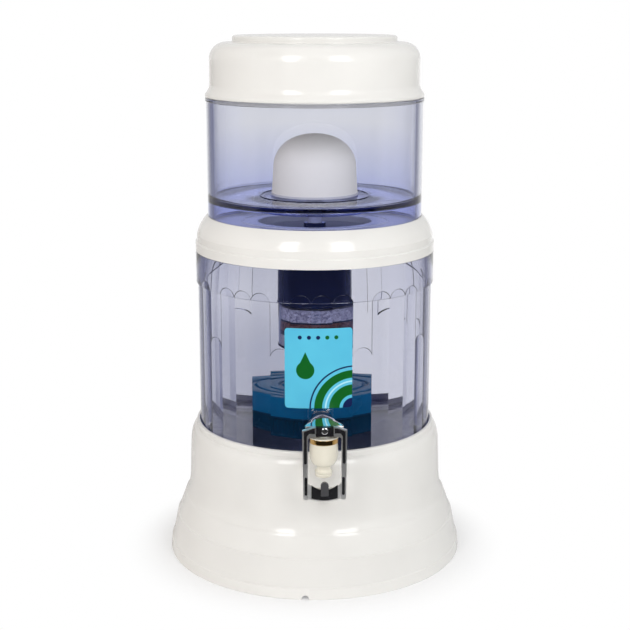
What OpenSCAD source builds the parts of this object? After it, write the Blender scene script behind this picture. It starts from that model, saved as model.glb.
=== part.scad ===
// Countertop gravity water filter.
// Water poured under the lid seeps through a ceramic dome in the upper tank, drips through a
// layered cartridge into the fluted lower tank, and leaves by a push tap.
// Units are millimetres. The origin is the centre of the floor under the base, +Z is up,
// and the tap faces -Y. "Front" in the comments means -Y.

/* [Base] */
// Height of the base from floor to rim
base_h = 137; // [130:0.5:146]
// How far the foot stands out past the drum's waist
foot_out = 21.7; // [20:0.1:27]
// How far the drum's waist stands out past the lower tank
waist_out = 11.5; // [10.4:0.1:14]
// Height of the joint between the drum and the flared foot
flare_h = 59.5; // [52:0.5:66]
// Height of the drum's upright band above that joint
drum_low_up = 20.5; // [16:0.5:26]
// Depth of the rounded edge at the top of the drum
drum_top_drop = 22; // [16:0.5:26]
// Depth that the lower tank sinks into the base
seat_depth = 10.4; // [8:0.2:13]
// Wall thickness of the base
base_wall = 3.2; // [2.6:0.1:4]
// Width of the shelf that carries the lower tank
shelf_w = 22; // [16:1:30]
// Number of gussets under the shelf
gusset_n = 12; // [6:1:16]
// Depth of each gusset at the wall
gusset_h = 34; // [16:1:40]
// Width of the drain notch in the foot
notch_w = 7; // [5:0.5:10]

/* [Lower tank] */
// Outer radius of the lower tank under its band
tank_r = 117; // [110:0.5:125]
// How far the band under the shoulder stands out past that
band_out = 1.8; // [1.4:0.1:2.6]
// Height of the lower tank from its underside to the shoulder that carries the collar
tank_h = 185.2; // [176:0.2:200]
// Wall thickness of the lower tank in the middle of its flat panes
tank_wall = 6.6; // [5:0.1:8]
// Floor thickness of the lower tank
tank_floor = 3.6; // [2.6:0.1:5]
// Height of the rim that stands inside the collar
tank_rim_h = 10; // [6:0.5:14]
// Distance of the tall panes' round tops below the shoulder
arch_drop = 25; // [20:0.1:30]
// Distance of the short panes' round tops below the shoulder
low_arch_drop = 77; // [60:1:100]
// Distance of the band's lower edge below the shoulder
band_h = 32.2; // [28:0.2:44]

/* [Collar] */
// Height of the collar from the tank shoulder to the upper tank's seat
collar_h = 34.2; // [30:0.2:40]
// How far the collar's lower band stands out past the lower tank
collar_over = 0.1; // [0:0.05:0.7]
// Radius of the hole that the cartridge passes through
collar_hole_r = 56; // [50:0.5:62]
// Wall thickness of the collar
collar_wall = 2.2; // [1.8:0.1:2.6]
// Depth of the collar's deck below the seat
deck_drop = 2.8; // [2.6:0.1:6]

/* [Upper tank] */
// How far the upper tank's wall stands behind the lower tank's
upper_set_in = 11; // [10.4:0.1:13]
// Wall thickness of the upper tank
upper_wall = 6.5; // [5:0.1:8]
// Height of the upper tank
upper_h = 115; // [105:0.5:130]
// Height of the skirt under the upper tank's floor
skirt_h = 15.5; // [13:0.5:20]
// Floor thickness of the upper tank
upper_floor = 3.5; // [2.6:0.1:4.5]
// Outer radius of the ring rib under the floor
hub_r = 53.5; // [50:0.5:55]

/* [Lid] */
// Height of the lid
lid_h = 59; // [52:0.5:66]
// How far the lid's wall stands behind the upper tank's
lid_set_in = 3.6; // [2.6:0.1:5]
// Radius of the rounded shoulder of the lid
lid_round = 16; // [10:0.5:20]
// How far the lid's raised disc stands behind its wall
lid_disc_in = 22.4; // [20:0.1:32]
// Height of the raised disc
lid_disc_h = 6.2; // [4:0.1:9]
// Wall thickness of the lid
lid_wall = 2.6; // [2:0.1:3.2]

/* [Ceramic dome] */
// Outer radius of the dome at its foot
dome_r = 42.2; // [36:0.2:46]
// Height of the ceramic dome
dome_h = 57.5; // [48:0.5:68]
// Wall thickness of the ceramic
dome_wall = 6; // [4:0.5:9]
// Radius of the outlet stem under the dome
stem_r = 7; // [5:0.1:8]

/* [Cartridge] */
// Outer radius of the cartridge's cap
cart_r = 37.5; // [33:0.1:40]
// Height of the cap, without its neck
cart_cap_h = 71.3; // [60:0.5:80]
// Height of the clear housing below the cap
cart_housing_h = 42.2; // [34:0.2:50]
// Wall thickness of the cap and the housing
cart_wall = 2.2; // [1.6:0.1:3]

/* [Mineral pot] */
// Outer radius of the pot's lid
pot_r = 64.7; // [58:0.1:72]
// Height of the slotted basket
basket_h = 22.8; // [20:0.2:30]
// Height of the pot's lid above the basket
pot_lid_h = 20; // [14:0.5:26]
// Number of slots round the basket
slot_n = 48; // [24:1:60]
// Radius of one mineral stone
stone_r = 7.5; // [5:0.1:8]

/* [Tap] */
// Height of the tap's axis above the base's rim
tap_up = 25; // [22:0.2:30]
// Distance of the spout's axis in front of the tank
spout_reach = 24.5; // [23.5:0.1:26]
// Outer radius of the threaded tail
tail_r = 7.5; // [6:0.1:8]
// Length of the tail inside the tank
tail_in = 16; // [14:0.5:24]
// Largest radius of the spout
spout_r = 12.9; // [12.4:0.1:13.4]
// Radius of the spout's outlet
outlet_r = 4; // [3:0.1:4.6]
// Width across the lever's arms
lever_w = 41.2; // [39:0.1:44]
// Width of one lever arm
arm_w = 5; // [4:0.1:5.4]
// Length of the lever below the tap's axis
lever_drop = 60.2; // [56:0.1:66]

/* [Label] */
// Width of the label round the tank
label_w = 63.3; // [40:0.1:70]
// Height of the label
label_h = 77.2; // [50:0.1:80]
// Height of the label's lower edge above the tank's underside
label_up = 52.6; // [50:0.1:70]

/* [Clearances] */
// Gap round a part that drops into or over another
drop_gap = 0.75; // [0.4:0.05:1]
// Gap round the lower tank in the base's recess
recess_gap = 1.2; // [0.8:0.05:1.6]
// Running clearance round pins and stems
run_gap = 0.05; // [0.03:0.01:0.08]
// Gap between a thin skin and what it lies on
skin_gap = 0.05; // [0.02:0.01:0.1]

/* [Hidden] */

$fn = 180;
over = 1;                                   // how far a cutter runs past what it cuts

// Radii that follow the lower tank
tank_band_r = tank_r + band_out;
waist_r = tank_r + waist_out;
foot_r = waist_r + foot_out;
collar_r = tank_band_r + collar_over;
upper_r = tank_r - upper_set_in;
lid_r = upper_r - lid_set_in;
lid_disc_r = lid_r - lid_disc_in;

// Heights of the stack
shelf_z = base_h - seat_depth;              // the shelf, and the lower tank's underside
floor_z = shelf_z + tank_floor;             // the lower tank's floor
shoulder_z = shelf_z + tank_h;              // the shoulder that carries the collar
seat_z = shoulder_z + collar_h;             // the seat that carries the upper tank
under_z = seat_z + skirt_h;                 // the underside of the upper tank's floor
water_z = under_z + upper_floor;            // the upper tank's floor
rim_z = seat_z + upper_h;                   // the upper tank's rim

// Base
shelf_low_z = shelf_z - base_wall;
notch_a = -6.8;                             // the drain notch's place round the foot

// Lower tank
pane_n = 36;
pane_a = 360 / pane_n;
pane_t = 1.2;                               // how far the panes stand in from the round wall
pane_r = tank_r - tank_wall;                // distance from the axis to each flat pane
tank_in_r = pane_r + pane_t;
arch_r = pane_r * tan(pane_a / 2) + 0.2;
short_every = 4;                            // every fourth pane is a short one
recess_r = tank_r + recess_gap;             // the base's recess round the lower tank
shelf_in_r = recess_r - shelf_w;
rim_out_r = collar_r - collar_wall - drop_gap / 2;
label_t = 0.25;
label_x = -3.1;                             // the label's middle, from the tap's line
label_round = 3;

// Upper tank
upper_in_r = upper_r - upper_wall;
spigot_h = 2.4;                             // how far the skirt reaches inside the collar's seat
spigot_r = upper_r - upper_wall / 2;
flange_w = 1;
flange_h = 3.5;
hub_h = 8.7;
hub_wall = 3;
bead_r = 54;                                // raised ring on the upper tank's floor

// Dome and stem
washer_t = 1.2;
dome_base_t = 2;
dome_z = water_z + washer_t + dome_base_t;  // foot of the ceramic
dome_side_h = 24;                           // height of the nearly straight side
dome_taper = 1.2;
dome_top_r = dome_r - dome_taper;
nut_t = 7;
dome_washer_w = 12;
stem_washer_w = 8;
nut_wall = 6.5;                             // least wall of the stem's nut
neck_h = 11.5;                              // the cartridge's neck
neck_drop = 20;
neck_z = under_z - neck_drop;               // top of the neck
cap_z = neck_z - neck_h - cart_cap_h;       // lower edge of the cap
stem_z = neck_z - neck_h + 1.2;             // lower end of the stem
cart_z = cap_z - cart_housing_h;            // underside of the housing
cart_foot_t = 2.6;
foot_ring_pitch = 9;                        // pitch of the foot's rings of holes
foot_hole_r = 1.3;
media_r = cart_r - 0.5 - cart_wall - 0.15;

// Thickness of each layer in the cartridge, from the foot up
sand_t = 11.5;
carbon_t = 3.2;
pad_lower_t = 1.2;
mineral_t = 9.6;
pad_upper_t = 1.6;
silica_t = 12.6;

// Mineral pot
basket_r = pot_r - 4.7;
pot_wall = 2.2;
basket_floor = 2;
basket_neck_h = 10;                         // how far the basket reaches up inside the lid
pot_join_z = floor_z + basket_h;            // the flange that carries the pot's lid
slot_w = 3.4;
slot_h = 15;

// Tap
tap_z = base_h + tap_up;
spout_y = -(tank_r + spout_reach);
tap_washer_t = 2;
flange_t = 3;
flange_r = 9.6;
flange_y = -(tank_r + skin_gap + tap_washer_t);         // rear face of the flange
tail_y = -(pane_r - tail_in);                           // inner end of the tail
tank_hole_r = tail_r + 0.2;
nut_y = -(pane_r - 2.2);                                // outer face of the lock nut
duct_r = 4.5;
arm_low = -1.2;                             // heights here are from the tap's axis
arm_deep = -7;
pocket_low = 1.8;
lip_up = pocket_low - 1;                    // top of the spout's raised lip
spigot_tap_r = 9.9;                         // the body's spigot inside the spout
boss_top = 4;
arm_top = 9.8;
hood_t = 1.2;
body_front = spout_y - 9.3;
nose_front = spout_y - 10.3;
body_half_w = lever_w / 2 - 2.9;            // half the body's width at its front
rear_half_w = 8.5;
nose_half_w = 7.7;
pocket_half_w = 13;
chamber_r = 7;
boss_r = 9.5;
pivot_y = spout_y - 7.5;
pivot_up = 5.4;
pin_r = 1.2;
lug_r = 3.2;
lug_in = 8.3;
lug_out = 12.3;
ring_h = 5.5;
ring_t = 1.05;
ring_top = arm_low - 0.6;                   // top of the bright ring
bulb_low = -31.6;                           // where the spout's bulb meets its neck
nozzle_h = 6.2;
nozzle_low = -41.2;
nozzle_r = 8;
seat_up = -11.8;                            // the valve's seat
stem_rod_r = 1.6;
head_up = 6.6;
lever_t = 4;
lever_back = spout_y - 10.5;
lever_front = lever_back - lever_t;
inlay_t = 0.6;
inlay_w = 2.7;
paddle_curve_r = 39;
paddle_top = 16;                            // height of the paddle's corners over its lower edge
paddle_t = 2.4;
pad_t = 0.5;

// Points along an arc of centre c, radius r, from angle a to angle b
function arc(c, r, a, b, n = 8) =
    [for (i = [0:n]) let (t = a + (b - a) * i / n) [c[0] + r * cos(t), c[1] + r * sin(t)]];

// Points along a quadratic curve from p to q, pulled towards m
function curve(p, m, q, n = 6) =
    [for (i = [0:n]) let (t = i / n) p * (1 - t) * (1 - t) + m * 2 * t * (1 - t) + q * t * t];

// A profile's points in reverse, moved by d
function back(points, d) = [for (i = [len(points) - 1:-1:0]) points[i] + d];

module turned(points) {
    rotate_extrude() polygon(points);
}

module ring(r_out, r_in, h) {
    difference() {
        cylinder(r = r_out, h = h);
        translate([0, 0, -over]) cylinder(r = r_in, h = h + 2 * over);
    }
}

// A cylinder along Y that starts at y and runs h towards the back
module along_y(r, y, h) {
    translate([0, y, 0]) rotate([-90, 0, 0]) cylinder(r = r, h = h);
}

// ---------------------------------------------------------------- base

// The outline of the drum, from the rim down to the joint
function drum_outline() = let (rim_r = recess_r + 0.6, cove = [recess_r + 2.8, base_h - 5.8],
    drum_top = [waist_r - 1.2, base_h - drum_top_drop], drum_low = [waist_r, flare_h + drum_low_up])
    concat(
        [[recess_r, base_h], [rim_r, base_h - 0.1]],
        curve([rim_r + 0.5, base_h - 0.5], [recess_r + 2.8, base_h - 1.2], cove, 5),
        curve(cove + [0.3, -0.2], [waist_r - 2.7, base_h - 8], drum_top, 8),
        curve(drum_top, [waist_r - 0.6, (drum_top[1] + drum_low[1]) / 2], drum_low, 4),
        curve(drum_low, [waist_r + 0.7, flare_h + 6.5], [waist_r + 4.8, flare_h], 8));

// The outline of the foot, from the joint down to the floor
function foot_outline() = let (step_h = flare_h * 0.64, step_up = [foot_r - 8.6, step_h], foot_h = 10.2)
    concat(
        curve([waist_r + 5.5, flare_h - 0.5], [foot_r - 11.6, (flare_h + step_h) / 2 + 1.2], step_up, 6),
        curve(step_up + [1.2, -1.1], [foot_r - 4.4, step_h * 0.58], [foot_r - 1.9, foot_h + 1], 6),
        [[foot_r - 1, foot_h], [foot_r, 0]]);

// The inner side of an outline, from its lower end up to height top
function lining(shell, top) =
    [for (i = [len(shell) - 1:-1:0]) if (shell[i][1] < top) shell[i] - [base_wall, 0]];

// Radius of the drum's inner wall under the shelf
function drum_in_r() = let (inner = lining(drum_outline(), shelf_low_z)) inner[len(inner) - 1][0];

// Rim, recess and upright wall
module base_drum() {
    shell = drum_outline();
    color("ivory") turned(concat(shell, lining(shell, shelf_low_z),
        [[drum_in_r(), shelf_low_z], [recess_r, shelf_low_z]]));
}

// Flared skirt welded under the drum
module base_foot() {
    shell = foot_outline();
    color("ivory") difference() {
        turned(concat([[waist_r + 4.8 - base_wall, flare_h], [waist_r + 4.8, flare_h]], shell,
            lining(shell, flare_h - 1)));
        rotate(notch_a) translate([0, 0, notch_w * 0.1])
            along_y(notch_w / 2, -foot_r - over, base_wall + 4 * over);
    }
}

// Ring that carries the lower tank, welded into the drum's recess
module base_shelf() {
    color("ivory") translate([0, 0, shelf_low_z])
        ring(recess_r - skin_gap, shelf_in_r, base_wall);
}

module shelf_gussets() {
    top = shelf_low_z - skin_gap;
    wall_r = drum_in_r() - skin_gap;
    color("ivory") for (i = [0:gusset_n - 1]) rotate((i + 0.5) * 360 / gusset_n) rotate([90, 0, 0])
        translate([0, 0, -base_wall / 2]) linear_extrude(base_wall)
            polygon([[shelf_in_r + 1, top], [wall_r, top], [wall_r, top - gusset_h],
                [shelf_in_r + 1, top - gusset_h * 0.12]]);
}

// ---------------------------------------------------------------- lower tank

// Front view of one pane, from the tank's floor up to its round top
module pane_shape(top) {
    translate([0, top - arch_r]) circle(r = arch_r);
    translate([-arch_r, shelf_z]) square([2 * arch_r, top - arch_r - shelf_z]);
}

// Round outside, with a band under the shoulder; flat panes with round tops inside
module lower_tank() {
    band_z = shoulder_z - band_h;
    rim_top = shoulder_z + tank_rim_h;
    color([0.72, 0.74, 0.88, 0.5]) difference() {
        turned([[0, shelf_z], [tank_r - 0.8, shelf_z], [tank_r, shelf_z + 0.8], [tank_r, band_z],
            [tank_band_r, band_z + 0.8], [tank_band_r, shoulder_z], [rim_out_r, shoulder_z],
            [rim_out_r, rim_top], [0, rim_top]]);
        difference() {
            turned([[0, floor_z], [tank_in_r - 2.5, floor_z], [tank_in_r, floor_z + 2.5],
                [tank_in_r, rim_top + over], [0, rim_top + over]]);
            for (i = [0:pane_n - 1]) rotate(i * pane_a) rotate([90, 0, 0]) translate([0, 0, pane_r])
                linear_extrude(pane_t + over)
                    pane_shape(shoulder_z - (i % short_every == 2 ? low_arch_drop : arch_drop));
        }
        translate([0, 0, tap_z]) along_y(tank_hole_r, -tank_band_r - over, tank_wall + 4 * over);
    }
}

// Printed film round the front of the tank
module front_label() {
    half_w = label_w / 2;
    r_in = tank_r + skin_gap;
    color([0.3, 0.75, 0.9]) translate([0, 0, shelf_z + label_up]) intersection() {
        ring(r_in + label_t, r_in, label_h);
        translate([label_x, 0, 0]) rotate([90, 0, 0]) linear_extrude(tank_band_r + over) union() {
            translate([label_round - half_w, 0]) square([2 * (half_w - label_round), label_h]);
            translate([-half_w, label_round]) square([2 * half_w, label_h - 2 * label_round]);
            for (x = [-1, 1], z = [label_round, label_h - label_round])
                translate([x * (half_w - label_round), z]) circle(r = label_round);
        }
    }
}

// ---------------------------------------------------------------- tap, fixed parts

// The body's outline seen from above, back to front
module body_plan(front) {
    polygon([[-rear_half_w, flange_y - flange_t], [rear_half_w, flange_y - flange_t],
        [body_half_w, front + 5], [body_half_w, front], [-body_half_w, front],
        [-body_half_w, front + 5]]);
}

module tap_body() {
    rear_y = spout_y + ring_t + spout_r + 0.5;      // the ring passes in front of this
    pocket_back = spout_y + 4.5;
    color("silver") translate([0, 0, tap_z]) difference() {
        union() {
            along_y(tail_r, flange_y - flange_t, flange_t + tail_y - flange_y);
            along_y(flange_r, flange_y - flange_t, flange_t);
            translate([0, 0, arm_low]) linear_extrude(arm_top - arm_low) body_plan(body_front);
            translate([-rear_half_w, rear_y, arm_deep])
                cube([2 * rear_half_w, flange_y - flange_t - rear_y, arm_top - arm_deep]);
            translate([-nose_half_w, nose_front, arm_low])
                cube([2 * nose_half_w, body_front - nose_front + 1, arm_top - arm_low]);
            translate([0, spout_y, arm_low - 4]) cylinder(r = spigot_tap_r, h = 5);
        }
        // water way: tail bore, flat duct and valve chamber
        along_y(duct_r, flange_y - flange_t - 4, tail_y - flange_y + flange_t + 4 + over);
        translate([-6, spout_y, -0.2]) cube([12, flange_y - flange_t - 3 - spout_y, 2]);
        translate([0, spout_y, arm_low - 4 - over])
            cylinder(r = chamber_r, h = 4 + over + pocket_low - arm_low);
        translate([0, spout_y, 0]) cylinder(r = stem_rod_r + 0.6, h = boss_top);
        translate([0, spout_y, boss_top - 1]) cylinder(r = boss_r - 1, h = 1 + over);
        // pocket for the lever's fork, round the chamber's boss
        difference() {
            translate([-pocket_half_w, body_front - over, pocket_low])
                cube([2 * pocket_half_w, pocket_back - body_front + over, arm_top]);
            translate([0, spout_y, 0]) cylinder(r = boss_r, h = boss_top);
            translate([-nose_half_w, nose_front - over, 0])
                cube([2 * nose_half_w, pivot_y + 2 - nose_front + over, arm_top]);
        }
        // the front of the underside is cut back over the spout's raised lip
        difference() {
            translate([-lever_w / 2, nose_front - over, arm_low - over])
                cube([lever_w, spout_y - 0.5 - nose_front + over, lip_up - arm_low + over]);
            translate([0, spout_y, arm_low - 4]) cylinder(r = spigot_tap_r, h = 8);
        }
        for (x = [-15, 4.5]) translate([x, pivot_y, pivot_up]) rotate([0, 90, 0])
            cylinder(r = pin_r + run_gap, h = 10.5);
        translate([0, 0, 7.3]) along_y(1.45, nose_front - over, 4.2);
    }
}

module tap_hood() {
    color("silver") translate([0, 0, tap_z + arm_top]) union() {
        linear_extrude(hood_t) body_plan(body_front);
        translate([-nose_half_w, nose_front, 0]) cube([2 * nose_half_w, 6, hood_t]);
    }
}

module tap_nose() {
    block_t = lever_t - 0.4;
    color([0.06, 0.06, 0.06]) translate([0, 0, tap_z]) difference() {
        translate([-nose_half_w, nose_front - 0.1 - block_t, pocket_low])
            cube([2 * nose_half_w, block_t, arm_top + hood_t - pocket_low]);
        translate([0, 0, 7.3]) along_y(1.45, nose_front - over - block_t, block_t + 2 * over);
    }
}

module tap_screw() {
    head_y = nose_front - 0.1 - lever_t + 0.4;
    head_t = 1;
    color("silver") translate([0, 0, tap_z + 7.3]) difference() {
        union() {
            along_y(1.4, head_y - head_t / 2, lever_t + 3);
            translate([0, head_y, 0]) rotate([90, 0, 0])
                turned([[0, 0], [3.4, 0], [3.2, head_t * 0.5], [2.4, head_t * 0.9], [0, head_t]]);
        }
        for (a = [0, 90]) rotate([0, a, 0])
            translate([-1.9, head_y - head_t - over, -0.4]) cube([3.8, head_t * 0.6 + over, 0.8]);
    }
}

// Flat for the flange on one side and moulded to the round wall on the other
module outer_washer() {
    washer_r = flange_r + 0.4;
    color([0.2, 0.2, 0.2]) difference() {
        translate([0, 0, tap_z]) along_y(washer_r, flange_y, 2 * tap_washer_t);
        translate([0, 0, tap_z]) along_y(tail_r + skin_gap, flange_y - over, 2 * tap_washer_t + 2 * over);
        translate([0, 0, tap_z - washer_r - over])
            cylinder(r = tank_r + skin_gap, h = 2 * (washer_r + over));
    }
}

// Lies on the flat pane, within its width
module inner_washer() {
    low_y = -(pane_r - skin_gap);
    color([0.2, 0.2, 0.2]) translate([0, 0, tap_z]) difference() {
        along_y(pane_r * tan(pane_a / 2) - 0.2, low_y, nut_y - low_y);
        along_y(tail_r + skin_gap, low_y - over, nut_y - low_y + 2 * over);
    }
}

module tail_nut() {
    across = 22;
    color("white") translate([0, 0, tap_z]) difference() {
        translate([0, nut_y, 0]) rotate([-90, 0, 0]) cylinder(d = across / cos(30), h = 6, $fn = 6);
        along_y(tail_r + skin_gap, nut_y - over, 6 + 2 * over);
    }
}

// A bulb that hangs from the body, with a necked nozzle
module tap_spout() {
    top = arm_low;
    low = ring_top - ring_h;
    cavity_r = 8.5;
    socket_r = spigot_tap_r + skin_gap;
    lip_r = socket_r + 1.1;
    outline = concat(
        [[spout_r, top], [spout_r, ring_top], [spout_r - 0.8, ring_top], [spout_r - 0.8, low],
            [spout_r - 0.3, low]],
        curve([spout_r - 0.3, low], [spout_r + 0.3, low - 9], [spout_r + 0.1, low - 13.3], 6),
        curve([spout_r + 0.1, low - 13.3], [spout_r - 1.2, low - 21.1], [7.4, bulb_low + 1.8], 8),
        curve([7.4, bulb_low + 1.8], [6.5, bulb_low + 0.6], [6.5, bulb_low - 0.8], 4),
        curve([6.5, bulb_low - 0.8], [6.7, bulb_low - 2.6], [nozzle_r, nozzle_low + nozzle_h], 4),
        [[nozzle_r, nozzle_low + 4.4], [nozzle_r - 0.5, nozzle_low + 3.9],
            [nozzle_r - 0.5, nozzle_low + 3.5], [nozzle_r, nozzle_low + 3]],
        curve([nozzle_r, nozzle_low + 3], [nozzle_r - 0.4, nozzle_low + 0.6],
            [nozzle_r - 2.4, nozzle_low], 4));
    color("floralwhite") translate([0, spout_y, tap_z]) union() {
        turned(concat(outline, [[outlet_r, nozzle_low], [outlet_r, seat_up],
            [cavity_r, seat_up], [cavity_r, top - 4 - skin_gap], [socket_r, top - 4 - skin_gap],
            [socket_r, top]]));
        difference() {
            translate([0, 0, top - 0.5]) ring(lip_r, socket_r, lip_up - skin_gap - top + 0.5);
            translate([-lip_r - over, -0.5 - skin_gap, top]) cube(2 * (lip_r + over));
        }
    }
}

module spout_ring() {
    color("goldenrod") translate([0, spout_y, tap_z + ring_top - ring_h])
        ring(spout_r - 0.8 + skin_gap + ring_t, spout_r - 0.8 + skin_gap, ring_h);
}

module lever_pins() {
    color("silver") for (x = [-14.8, 4.8]) translate([x, pivot_y, tap_z + pivot_up])
        rotate([0, 90, 0]) cylinder(r = pin_r, h = 10);
}

module valve_diaphragm() {
    color("gainsboro") translate([0, spout_y, tap_z + boss_top - 1])
        ring(boss_r - 1 - skin_gap, stem_rod_r + run_gap, 0.9);
}

// ---------------------------------------------------------------- tap, moving parts

module valve_stem() {
    foot_up = seat_up + 2.8;
    color("whitesmoke") translate([0, spout_y, tap_z]) union() {
        translate([0, 0, foot_up - 2]) cylinder(r = stem_rod_r, h = head_up - foot_up + 2.4);
        translate([0, 0, foot_up]) cylinder(r = 5.6, h = 1.3);
        translate([0, 0, head_up]) cylinder(r = 3.6, h = 1.2);
    }
}

module valve_seal() {
    color("gainsboro") translate([0, spout_y, tap_z + seat_up]) difference() {
        turned([[0, 0], [5.4, 0], [6.2, 0.8], [6.2, 2.8], [0, 2.8]]);
        translate([0, 0, 0.8]) cylinder(r = stem_rod_r + skin_gap, h = 3);
    }
}

// Compression spring between the stem's foot and the roof of the chamber
module valve_spring() {
    wire_r = 0.45;
    coil_r = 4.6;
    turns = 5;
    low = seat_up + 4.1 + 0.1 + wire_r;
    high = pocket_low - 0.1 - wire_r;
    steps = 12;
    sides = 6;
    rings = turns * steps;
    points = [for (i = [0:rings], j = [0:sides - 1])
        let (a = 360 * i / steps, b = 360 * j / sides, r = coil_r + wire_r * cos(b))
        [r * cos(a), r * sin(a), low + (high - low) * i / rings + wire_r * sin(b)]];
    walls = [for (i = [0:rings - 1], j = [0:sides - 1])
        let (k = (j + 1) % sides, n = i * sides)
        [n + j, n + k, n + k + sides, n + j + sides]];
    color("silver") translate([0, spout_y, tap_z]) polyhedron(
        points, concat(walls, [[for (j = [sides - 1:-1:0]) j], [for (j = [0:sides - 1]) rings * sides + j]]),
        convexity = 8);
}

// Both halves of what is drawn for the right-hand side
module both() {
    children();
    mirror([1, 0, 0]) children();
}

// Upper strip of dark inlay: from the nose over the shoulder and down the arm
module upper_inlay_shape() {
    x = lever_w / 2 - 2.8;
    low = -22.9;
    translate([x, low]) circle(r = inlay_w / 2);
    polygon([[lug_in + 0.7, 10.1], [lug_in + 2.8, 10], [x + inlay_w / 2, 7], [x + inlay_w / 2, low],
        [x - inlay_w / 2, low], [x - inlay_w / 2, 2.4], [x - inlay_w / 2 - 2, 4.9], [lug_in + 0.7, 4.9]]);
}

module lower_inlay_shape() {
    x = lever_w / 2 - 3.3;
    high = -38.3;
    low = -53.3;
    for (z = [high, low]) translate([x, z]) circle(r = inlay_w / 2);
    translate([x - inlay_w / 2, low]) square([inlay_w, high - low]);
}

// Front view of one arm with its shoulder
module arm_shape() {
    out = lever_w / 2;
    in = out - arm_w;
    polygon(concat([[lug_in, 11], [lug_in + 2.6, 10.9], [out, 7.8], [out - 0.8, 3 - lever_drop]],
        curve([out - 0.8, 3 - lever_drop], [out - 0.9, 1.4 - lever_drop], [out - 3, 1 - lever_drop], 4),
        [[in, 1.2 - lever_drop], [in, -1.6]],
        arc([in - 3.2, -1.6], 3.2, 0, 90, 6), [[lug_in, 1.6]]));
}

// Front view of the paddle
module paddle_shape(half_w, inset) {
    low = -lever_drop + inset;
    polygon(concat(curve([-half_w, low + 1.4], [0, low - 1.4], [half_w, low + 1.4], 8),
        curve([half_w, paddle_top - lever_drop - inset], [0, 7 - lever_drop - inset],
            [-half_w, paddle_top - lever_drop - inset], 8)));
}

// A curved plate that bulges to the front, from radius r_in to r_out
module paddle_plate(r_in, r_out) {
    middle_y = lever_front - pad_t + 0.3 + paddle_curve_r;
    intersection() {
        translate([0, middle_y, -1.1 * lever_drop]) ring(r_out, r_in, lever_drop);
        translate([0, middle_y, 0]) rotate([90, 0, 0]) linear_extrude(r_out + over) children();
    }
}

module tap_lever() {
    fork_up = head_up - 0.2;
    color("silver") translate([0, 0, tap_z]) difference() {
        union() {
            both() translate([0, lever_back, 0]) rotate([90, 0, 0]) linear_extrude(lever_t) arm_shape();
            paddle_plate(paddle_curve_r - paddle_t, paddle_curve_r)
                paddle_shape(lever_w / 2 - arm_w + 1, 0);
            both() union() {
                translate([lug_in, pivot_y, pivot_up]) rotate([0, 90, 0])
                    cylinder(r = lug_r, h = lug_out - lug_in);
                translate([lug_in, lever_back - 1, pivot_up - 2])
                    cube([lug_out - lug_in, pivot_y - lever_back + 1, 2 + lug_r]);
                translate([lug_in, pivot_y, pivot_up - 0.8]) cube([lug_out - lug_in, 4.4, 1.6]);
            }
            translate([-lug_out, pivot_y + 2.6, pivot_up - 0.8]) cube([2 * lug_out, 1.8, 1.6]);
            both() union() {
                translate([stem_rod_r + 0.4, pivot_y + 4, pivot_up - 0.8]) cube([2, 4.6, 1]);
                translate([stem_rod_r + 0.4, spout_y, fork_up - 0.8]) rotate([0, 90, 0])
                    cylinder(r = 0.8, h = 2);
            }
        }
        both() translate([lug_in - over, pivot_y, pivot_up]) rotate([0, 90, 0])
            cylinder(r = pin_r + run_gap, h = lug_out - lug_in + 2 * over);
        both() translate([0, lever_front + inlay_t, 0]) rotate([90, 0, 0])
            linear_extrude(inlay_t + over) union() {
                upper_inlay_shape();
                lower_inlay_shape();
            }
    }
}

module lever_inlays() {
    color([0.05, 0.05, 0.05]) translate([0, lever_front + inlay_t, tap_z])
        both() rotate([90, 0, 0]) linear_extrude(inlay_t) union() {
            upper_inlay_shape();
            lower_inlay_shape();
        }
}

module paddle_pad() {
    color([0.05, 0.05, 0.05]) translate([0, 0, tap_z])
        paddle_plate(paddle_curve_r, paddle_curve_r + pad_t) paddle_shape(12.2, 0.8);
}

module rib_shape(low) {
    half_w = 3.7;
    middle = 14.7;
    translate([0, middle - lever_drop]) circle(r = half_w);
    translate([-half_w, low - lever_drop]) square([2 * half_w, middle - low]);
}

// Raised grip rib: a slab over the pad, with a root on the paddle's upper edge
module paddle_rib() {
    pad_y = lever_front - pad_t + 0.3 - pad_t;
    color([0.3, 0.3, 0.3]) translate([0, pad_y, tap_z]) rotate([90, 0, 0]) union() {
        translate([0, 0, skin_gap]) linear_extrude(0.8) rib_shape(5);
        translate([0, 0, -2.6]) linear_extrude(2.8) difference() {
            rib_shape(8);
            paddle_shape(lever_w / 2 - arm_w + 1, -0.05);
        }
    }
}

// ---------------------------------------------------------------- mineral pot

module pot_basket() {
    color([0.2, 0.5, 0.7, 0.7]) difference() {
        translate([0, 0, floor_z]) turned([[0, 0], [basket_r, 0], [basket_r, basket_h - 2],
            [pot_r - 0.3, basket_h - 2], [pot_r - 0.3, basket_h], [basket_r, basket_h],
            [basket_r, basket_h + basket_neck_h], [basket_r - pot_wall, basket_h + basket_neck_h],
            [basket_r - pot_wall, basket_floor], [0, basket_floor]]);
        for (i = [0:slot_n - 1]) rotate((i + 0.5) * 360 / slot_n)
            translate([basket_r - pot_wall - over, -slot_w / 2, floor_z + 3.2])
                cube([pot_wall + 2 * over, slot_w, slot_h]);
    }
}

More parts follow.
